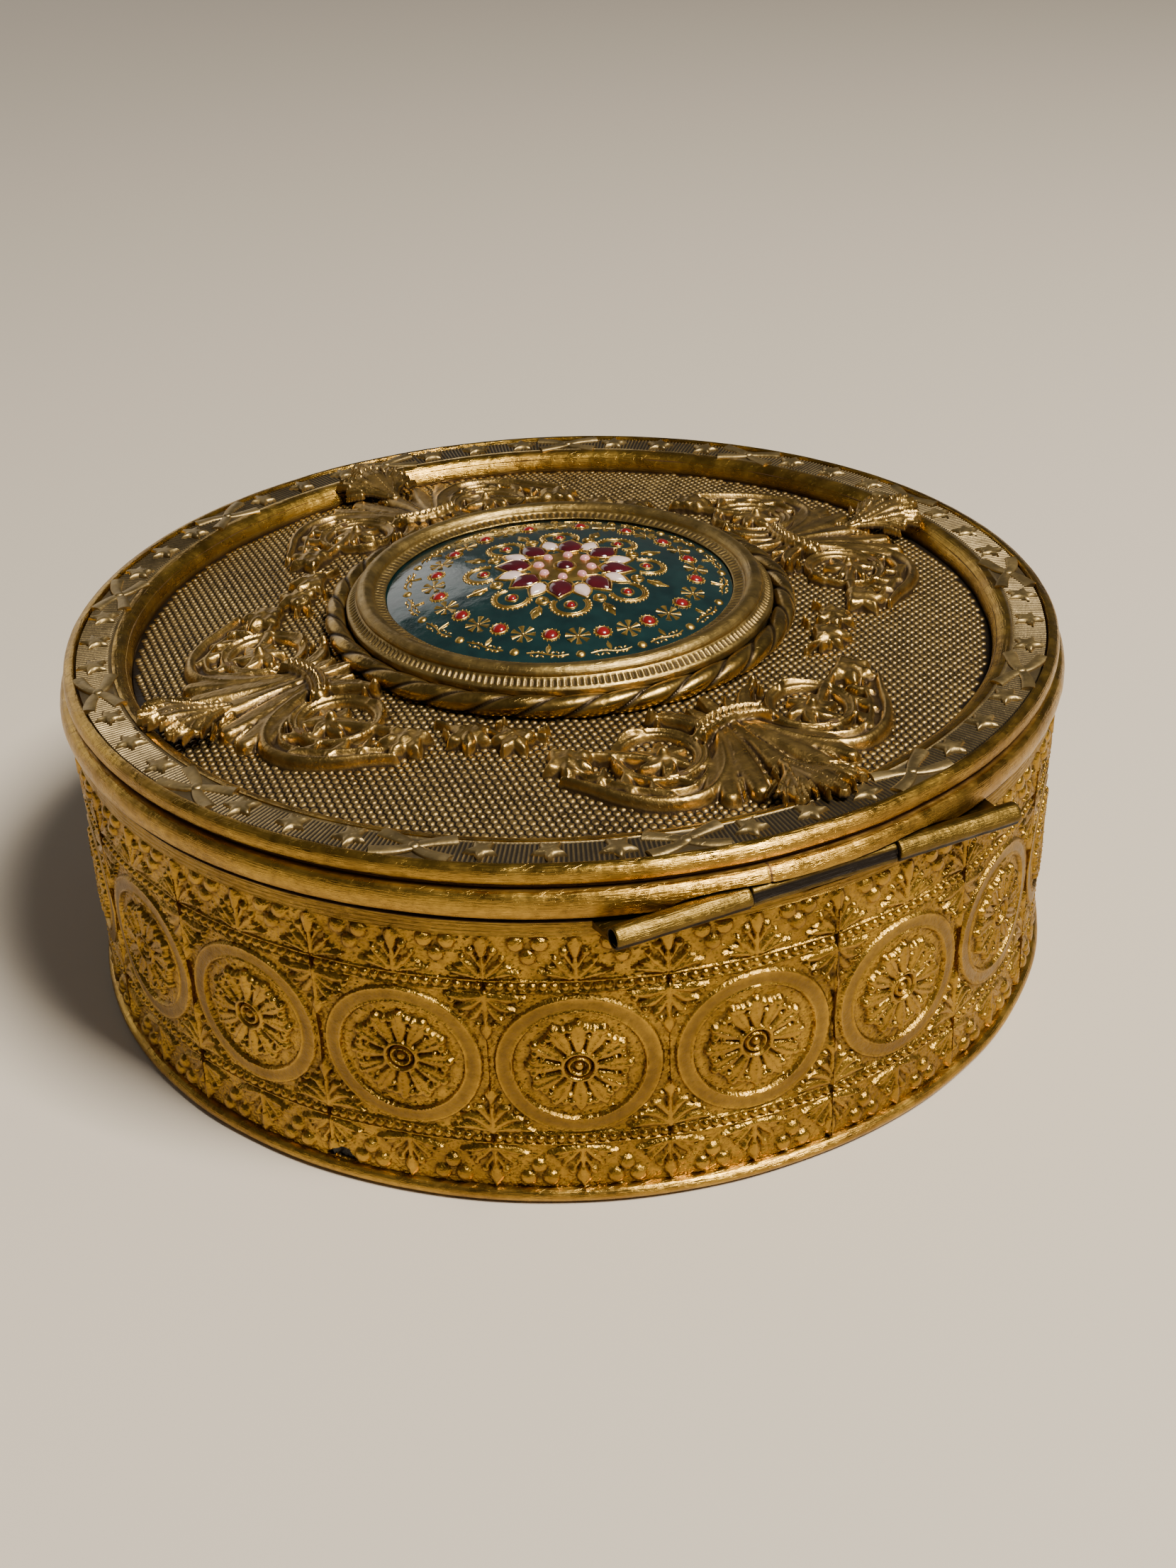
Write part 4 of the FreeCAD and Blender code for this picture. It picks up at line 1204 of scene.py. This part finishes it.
def on_crown_from(out):
    """As `on_crown`, for a patch that stands `out` mm further from the middle."""
    return lambda x, y, height: on_crown(x + out, y, height)


def over_border_from(out):
    """Lays a patch level at the height of the field's edge, `out` mm further from the middle."""
    return lambda x, y, height: np.stack(np.broadcast_arrays(x + out, y, crown_z(52.0) + height), -1)


def draw_flare(relief):
    """The leaf that lifts off the fan and lies over the border."""
    for path, widths, height in (
        (((45.4, 0), (48.8, 0), (52.2, 0), (55.4, 0)), (0.9, 1.2, 1.6, 0.6), 1.0),
        (((46.4, 0.5), (49.2, 1.8), (51.8, 3.1), (53.6, 3.9)), (0.6, 1.1, 1.4, 0.5), 0.85),
        (((47.8, 1.4), (49.6, 3.0), (50.8, 4.4)), (0.5, 0.9, 0.4), 0.75),
    ):
        relief.stroke(path, widths, height, hollow=0.4)
        relief.stroke([path[0], path[-1]], [0.16, 0.1], height * 1.05, keel=0.4)
        nicked_end(relief, path, 1.3, height)


MOUNT_SHIFTS = (-1.0, 1.0, 0.0, 0.0)     # how far each mount sits out from its usual place


def add_mounts():
    """Four casts of one pattern, each with its lifted leaf, drawn as one half and mirrored."""
    half = Relief((28.6, 51.0), (-23.6, 23.6), 0.13)
    draw_fan(half)
    draw_collar(half)
    draw_scroll(half)
    half.height = np.maximum(half.height, half.height[::-1])
    half.softened(2)
    flare = Relief((FLARE_START, 56.8), (-5.8, 5.8), 0.12)
    draw_flare(flare)
    flare.height = np.maximum(flare.height, flare.height[::-1])
    over = np.clip((flare.X - FLARE_START) / 7.0, 0, 1)
    rise = 1.9 + 1.35 * over ** 1.5 - 0.035 * flare.Y ** 2
    flare.height = np.where(flare.height > 0.1, flare.height + rise, rise - 0.2)
    for k, shift in enumerate(MOUNT_SHIFTS):
        turn = MOUNT_TURN + 90 * k
        cast = cut_out_solid(half, on_crown_from(shift), np.full(half.height.shape, 0.05)).turned(turn)
        tip = cut_out_solid(flare, over_border_from(shift), rise - 0.15).turned(turn)
        add_piece(f"mount_{k + 1}", cast, LID, "mount", [f"corner_mount_{k + 1}"], 75)
        add_piece(f"mount_tip_{k + 1}", tip, LID, "mount")


GARLAND_R = 33.3


def add_garlands():
    """Two ivy leaves on a curling stem between each pair of mounts."""
    relief = Relief((28.9, 38.6), (-7.2, 7.2), 0.12)
    stem = [(32.4 + 0.55 * math.sin(1.3 * v) - 0.012 * v * v, v) for v in np.linspace(-6.4, 6.4, 11)]
    relief.stroke(stem, [0.30, 0.42, 0.30], 1.4)
    for v, lean, size in ((-2.0, 12, 3.2), (3.1, -14, 3.0)):
        draw_leaf(relief, GARLAND_R, v, lean, size, 1.8)
    for u, v, out in ((31.6, 5.4, -0.9), (33.0, -5.0, 0.9), (30.8, 0.4, -0.6)):
        relief.stroke([(u, v), (u + out, v + 0.7)], [0.3, 0.2], 1.5)
        relief.bead(u + out, v + 0.7, 0.42, 1.7)
    relief.softened()
    cast = cut_out_solid(relief, on_crown, np.full(relief.height.shape, 0.05))
    for k in range(4):
        ivy = cast.turned(MOUNT_TURN + 45 + 90 * k)
        add_piece(f"ivy_{k + 1}", ivy, LID, "mount", [f"garland_{k + 1}"])


# ---- rope, bezel and enamel ------------------------------------------------------------------------------
ROPE_LOBES = 32
ROPE_SLANT = 2.1                  # lobes that a crease passes on its way round the rope
BEZEL_TICKS = 210


def add_rope():
    """A twisted rope: full lobes with sharp slanting creases between them."""
    middle_z = crown_z(ROPE_R) + ROPE_THICK_R + 0.03
    outline = arc((ROPE_R, middle_z), ROPE_THICK_R, 0, 352, 44)

    def change(angle, r, z):
        across = np.arctan2(z - middle_z, r - ROPE_R)
        phase = (angle * ROPE_LOBES / math.tau - across / math.tau * ROPE_SLANT) % 1.0
        lobe = np.sin(math.pi * phase) ** 0.42
        size = ROPE_THICK_R * (0.64 + 0.38 * lobe) + waver(polar(r, angle, z), 6, 0.05, 27)
        tone = np.clip(1.1 * lobe - 0.3, 0, 0.8)
        return ROPE_R + size * np.cos(across), middle_z + size * np.sin(across), tone

    rope = revolved(outline, ROPE_LOBES * 40, change)
    add_piece("twisted_rope", rope, LID, "rope", ["rope_ring"])


BEZEL_SEAT_R = 22.0


def add_bezel():
    """The ring that holds the enamel: a milled slope, a round bead and a milled inner slope."""
    foot = crown_z(BEZEL_SEAT_R) + 0.05
    neck = [(BEZEL_SEAT_R, foot), (25.75, foot), (25.85, foot + 0.1), (25.85, 43.25)]
    neck += [(26.0, 43.35), (26.15, 43.5)]
    flange = [(26.2, z) for z in np.linspace(43.6, 44.3, 5)] + [(26.1, 44.42)]
    slope = [(26.0 - 1.05 * t, 44.5 + 0.8 * t) for t in np.linspace(0, 1, 12)]
    bead_turns = np.radians(np.linspace(8, 172, 22))
    roll = [(24.9, 45.35)] + [(23.85 + 1.12 * math.cos(a), 45.45 + 1.0 * math.sin(a)) for a in bead_turns]
    inner = [(22.68 - 1.2 * t, 45.5 - 0.25 * t) for t in np.linspace(0, 1, 9)]
    lip = [(21.35, 45.15), (21.4, 45.03), (BEZEL_SEAT_R, 45.03)]

    def milled(angle, r, middle, half_width, ticks):
        band = np.clip(1 - np.abs((r - middle) / half_width) ** 6, 0, 1)
        return band * (0.5 - 0.5 * np.cos(angle * ticks))

    def change(angle, r, z):
        on_slope = milled(angle, r, 25.45, 0.40, BEZEL_TICKS) * (z > 44.4)
        on_inner = milled(angle, r, 22.1, 0.55, BEZEL_TICKS * 0.8) * (z > 45.1)
        cut = 0.19 * on_slope + 0.14 * on_inner
        dents = waver(polar(r, angle, z), 8, 0.07, 28)
        tone = np.where(z < 43.4, 0.2, 0.58 - 0.40 * on_slope - 0.40 * on_inner)
        return r - 0.4 * cut + dents, z - cut, tone

    ring = revolved(neck + flange + slope + roll + inner + lip, BEZEL_TICKS * 8, change)
    add_piece("milled_bezel", ring, LID, "bezel", ["bezel"])


def dot(x, y, radius, height, count=8, rings=2):
    """A round drop of paste on the dome."""
    return lump(circle(x, y, radius, count), height, on_dome, rings=rings)


PATTERN_SHIFT = (-0.70, 0.33)      # the painted pattern sits off the middle of the bezel
INNER_TURN, OUTER_TURN = 148.0, 158.0


def painted(radius, degrees, along=0.0, across=0.0):
    """A point of the enamel pattern: at a radius and direction, then moved outward and sideways."""
    angle = math.radians(degrees)
    x = PATTERN_SHIFT[0] + (radius + along) * math.cos(angle) - across * math.sin(angle)
    y = PATTERN_SHIFT[1] + (radius + along) * math.sin(angle) + across * math.cos(angle)
    return x, y


def petal(radius, degrees, length, half_width, point=1.0, count=9):
    """A teardrop outline with its sharp end outward; `point` 0 makes it an oval."""
    outline = []
    for t in np.linspace(0, 1, count):
        width = half_width * math.sin(math.pi * t ** (0.72 + 0.1 * point)) ** (0.6 + 0.55 * point * t)
        outline.append((length * (t - 0.5), width))
    outline += [(a, -w) for a, w in reversed(outline[1:-1])]
    return [painted(radius, degrees, a, w) for a, w in outline]


def gilt_ring(x, y, radius, width, height, start=0, end=360, scallops=0):
    """A gold ring or part of one, with small teeth outside when asked."""
    turns = np.radians(np.linspace(start, end, 25))
    path = [(x + radius * math.cos(a), y + radius * math.sin(a)) for a in turns]
    parts = [strip(path, [width, width], height, on_dome, 25, smooth=False)]
    for k in range(scallops):
        angle = math.radians(start + (end - start) * (k + 0.5) / scallops)
        reach = radius + 1.5 * width
        parts.append(dot(x + reach * math.cos(angle), y + reach * math.sin(angle), 0.95 * width, height))
    return parts


def gilt_edge(outline, width, height):
    """A gold line round a petal."""
    return strip(outline + outline[:2], [width, width], height, on_dome, smooth=False)


def gilt_leaf(radius, degrees, length, half_width, height=0.13):
    """A gold leaf that points outward, with a middle rib."""
    blade = lump(petal(radius, degrees, length, half_width, 1.0), height, on_dome, rings=3)
    rib = strip([painted(radius, degrees, -0.45 * length), painted(radius, degrees, 0.45 * length)],
                [0.09, 0.05], height + 0.07, on_dome, 6)
    return [blade, rib]


def rosette_parts():
    """The big flower in the middle of the medallion."""
    parts = {"maroon": [], "white": [], "pink": [], "red": [], "gold": []}
    parts["maroon"].append(dot(*painted(0, 0), 1.15, 0.55, 20, 4))
    parts["gold"] += gilt_ring(*painted(0, 0), 1.32, 0.16, 0.22)
    ground = [painted(4.75 + 0.35 * math.cos(math.radians(8 * (a - INNER_TURN))), a)
              for a in range(0, 360, 6)]
    parts["gold"].append(lump(ground, 0.05, on_dome, power=12, rings=6))
    for k in range(8):
        turn = INNER_TURN + 45 * k + 0.8 * CHANCE.normal()
        wobble = 1 + 0.05 * CHANCE.normal()
        drop = circle(*painted(3.25, turn), 0.62 * wobble, 14, 1.12, math.radians(turn))
        parts["pink"].append(lump(drop, 0.5, on_dome))
        parts["maroon"].append(lump(petal(6.35, turn, 4.25, 1.52 * wobble), 0.55, on_dome, 2.6))
        parts["gold"].append(gilt_edge(petal(6.35, turn, 4.6, 1.68 * wobble), 0.11, 0.24))
        half = turn + 22.5
        parts["white"].append(lump(petal(6.95, half, 3.1, 1.02 * wobble, 0.5), 0.46, on_dome, 2.4))
        parts["gold"].append(gilt_edge(petal(7.0, half, 3.8, 1.18, 0.9), 0.11, 0.2))
        parts["gold"].append(dot(*painted(8.7, half), 0.2, 0.2))
    return parts


def crescent_parts():
    """The scalloped crescents round the flower, with gold rings and leaves between them."""
    parts = {"red": [], "gold": []}
    for k in range(8):
        turn = OUTER_TURN + 45 * k + 0.7 * CHANCE.normal()
        x, y = painted(10.0, turn)
        parts["red"].append(dot(x, y, 0.55, 0.34, 12, 4))
        parts["gold"] += gilt_ring(x, y, 0.76, 0.10, 0.16)
        parts["gold"] += gilt_ring(x, y, 2.15, 0.20, 0.18, turn - 118, turn + 118, 17)
        parts["gold"] += gilt_ring(x, y, 1.84, 0.09, 0.13, turn - 122, turn + 122)
        half = turn + 22.5
        parts["gold"] += gilt_ring(*painted(9.3, half), 0.58, 0.26, 0.24)
        parts["gold"] += gilt_leaf(11.9, half, 3.0, 0.62, 0.15)
        for side in (-1, 1):
            x, y = painted(11.6, half, 0.0, 0.32 * side)
            sepal = circle(x, y, 0.38, 10, 1.9, math.radians(half + 18 * side))
            parts["gold"].append(lump(sepal, 0.2, on_dome, rings=3))
    return parts


VINE_R = 19.45


def sprig(turn):
    """A wavy stem along the edge of the dome, with pairs of tiny leaves."""
    stem = [painted(VINE_R + 0.22 * math.sin(math.pi * t), turn + 7.2 * t) for t in np.linspace(-1, 1, 9)]
    parts = [strip(stem, [0.09, 0.09], 0.12, on_dome, 18)]
    for spot, lean in ((-5.2, -1), (-3.4, 1), (-1.7, -1), (1.7, 1), (3.4, -1), (5.2, 1)):
        for side in (-1, 1):
            x, y = painted(VINE_R, turn + spot, 0.34 * side, 0)
            leaf = circle(x, y, 0.13, 8, 2.3, math.radians(turn + 90 * side + 40 * lean))
            parts.append(lump(leaf, 0.13, on_dome, rings=2))
    return parts


def small_flower(x, y, degrees):
    """Seven gold strokes round a dot."""
    parts = []
    for j in range(7):
        angle = math.radians(degrees + 360 / 7 * j)
        root, tip = ((x + reach * math.cos(angle), y + reach * math.sin(angle)) for reach in (0.25, 1.45))
        parts.append(strip([root, tip], [0.10, 0.20, 0.40], 0.15, on_dome, 6))
    return parts + [dot(x, y, 0.2, 0.2)]


def edge_parts():
    """The outer rings: red dots, small flowers, sprigs and gold dots."""
    parts = {"red": [], "gold": []}
    for k in range(16):
        turn = INNER_TURN + 22.5 * k + 0.8 * CHANCE.normal()
        x, y = painted(16.0, turn)
        parts["red"].append(dot(x, y, 0.82, 0.46, 16, 4))
        parts["gold"] += gilt_ring(x, y, 0.92, 0.11, 0.18, scallops=13)
        half = turn + 11.25
        parts["gold"] += small_flower(*painted(16.2, half), half)
        parts["gold"].append(dot(*painted(VINE_R, half), 0.58, 0.26, 12, 3))
        parts["gold"] += sprig(turn)
        parts["gold"] += gilt_leaf(18.6, turn, 1.6, 0.32, 0.12)
    return parts


def add_enamel():
    """The dark dome and, over it, one piece for each colour of paste."""
    face = [(r, dome_z(r)) for r in np.linspace(0.02, DOME_R, 60)]
    back = [(r, z - 1.1) for r, z in reversed(face)]
    dome = revolved(face + back, 300, uneven(9, 0.05, 33))
    add_piece("enamel_face", dome, LID, "enamel", ["enamel_dome"])
    layers = {}
    for made in (rosette_parts(), crescent_parts(), edge_parts()):
        for colour, shapes in made.items():
            layers.setdefault(colour, []).extend(shapes)
    for colour, shapes in layers.items():
        add_piece(f"enamel_{colour}", joined(shapes), LID, colour)


def finish_plain_nodes():
    """The CAD nodes that are shown as they are get their finish."""
    plain = dict.fromkeys(("body_wall", "base_plate", "lid_pan", "mount_studs", "mount_nuts"), "plain")
    for node, material in (plain | {"medallion_backing": "card", "hinge_pin": "steel"}).items():
        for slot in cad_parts[node].material_slots:
            slot.material = MATERIALS[material]


# ---- stage -----------------------------------------------------------------------------------------------
def add_stage():
    """The plain pale floor."""
    mesh = bpy.data.meshes.new("floor")
    reach, rear = 0.9, 1.2
    corners = [(-reach, -rear, 0), (reach, -rear, 0), (reach, reach, 0), (-reach, reach, 0)]
    mesh.from_pydata(corners, [], [(0, 1, 2, 3)])
    floor = bpy.data.objects.new("floor", mesh)
    bpy.context.scene.collection.objects.link(floor)
    finish = Finish("pale floor")
    finish.set("Base Color", (0.57, 0.50, 0.41, 1.0))
    finish.set("Roughness", 0.9)
    mesh.materials.append(finish.material)


def add_light(name, place, size, energy, colour):
    """A rectangular lamp that faces the box."""
    light = bpy.data.lights.new(name, "AREA")
    light.energy, light.color = energy, colour
    light.shape, light.size, light.size_y = "RECTANGLE", size[0], size[1]
    lamp = bpy.data.objects.new(name, light)
    lamp.location = place
    lamp.rotation_mode = "QUATERNION"
    lamp.rotation_quaternion = (Vector((0, 0, 0.03)) - Vector(place)).to_track_quat("-Z", "Y")
    bpy.context.scene.collection.objects.link(lamp)


PHOTO_SIDE = math.radians(65.0)     # direction from the box to the camera, from +X


def seen_from_camera(right, towards, up):
    """A place given as metres to the camera's right, towards it, and up."""
    x = towards * math.cos(PHOTO_SIDE) - right * math.sin(PHOTO_SIDE)
    y = towards * math.sin(PHOTO_SIDE) + right * math.cos(PHOTO_SIDE)
    return x, y, up


def add_lights():
    """A warm key light, a broad window behind and a dim room."""
    add_light("key", seen_from_camera(0.38, 0.30, 0.82), (0.28, 0.28), 20.0, (1.0, 0.95, 0.86))
    add_light("window", seen_from_camera(-0.90, -1.10, 0.50), (1.6, 0.8), 4.0, (1.0, 0.97, 0.93))
    world = bpy.data.worlds.new("room")
    world.use_nodes = True
    world.node_tree.nodes["Background"].inputs["Color"].default_value = (0.80, 0.76, 0.70, 1.0)
    world.node_tree.nodes["Background"].inputs["Strength"].default_value = 0.11
    bpy.context.scene.world = world


def add_camera():
    """The camera of the photo, solved from the circles of the lid and base."""
    distance, height = 0.22324, 0.14675
    yaw, pitch, roll = 0.011791, -0.527102, -0.035678
    turn = Matrix.Rotation(math.radians(155.0), 3, "Z")
    ahead = turn @ Vector((math.sin(yaw) * math.cos(pitch), math.cos(yaw) * math.cos(pitch), math.sin(pitch)))
    right = ahead.cross(Vector((0, 0, 1))).normalized()
    up = right.cross(ahead)
    level_right = math.cos(roll) * right + math.sin(roll) * up
    level_up = math.cos(roll) * up - math.sin(roll) * right
    camera = bpy.data.cameras.new("photo camera")
    camera.sensor_width, camera.lens, camera.clip_start = 36.0, 45.57, 0.01
    holder = bpy.data.objects.new("photo camera", camera)
    frame_axes = Matrix((level_right, level_up, -ahead)).transposed().to_4x4()
    place = Vector((distance * math.cos(PHOTO_SIDE), distance * math.sin(PHOTO_SIDE), height))
    holder.matrix_world = Matrix.Translation(place) @ frame_axes
    bpy.context.scene.collection.objects.link(holder)
    bpy.context.scene.camera = holder


add_frieze()
add_body()
add_linings()
add_hinge()
add_rim()
add_border()
add_inner_roll()
add_field()
add_mounts()
add_garlands()
add_rope()
add_bezel()
add_enamel()
finish_plain_nodes()
add_stage()
add_lights()
add_camera()
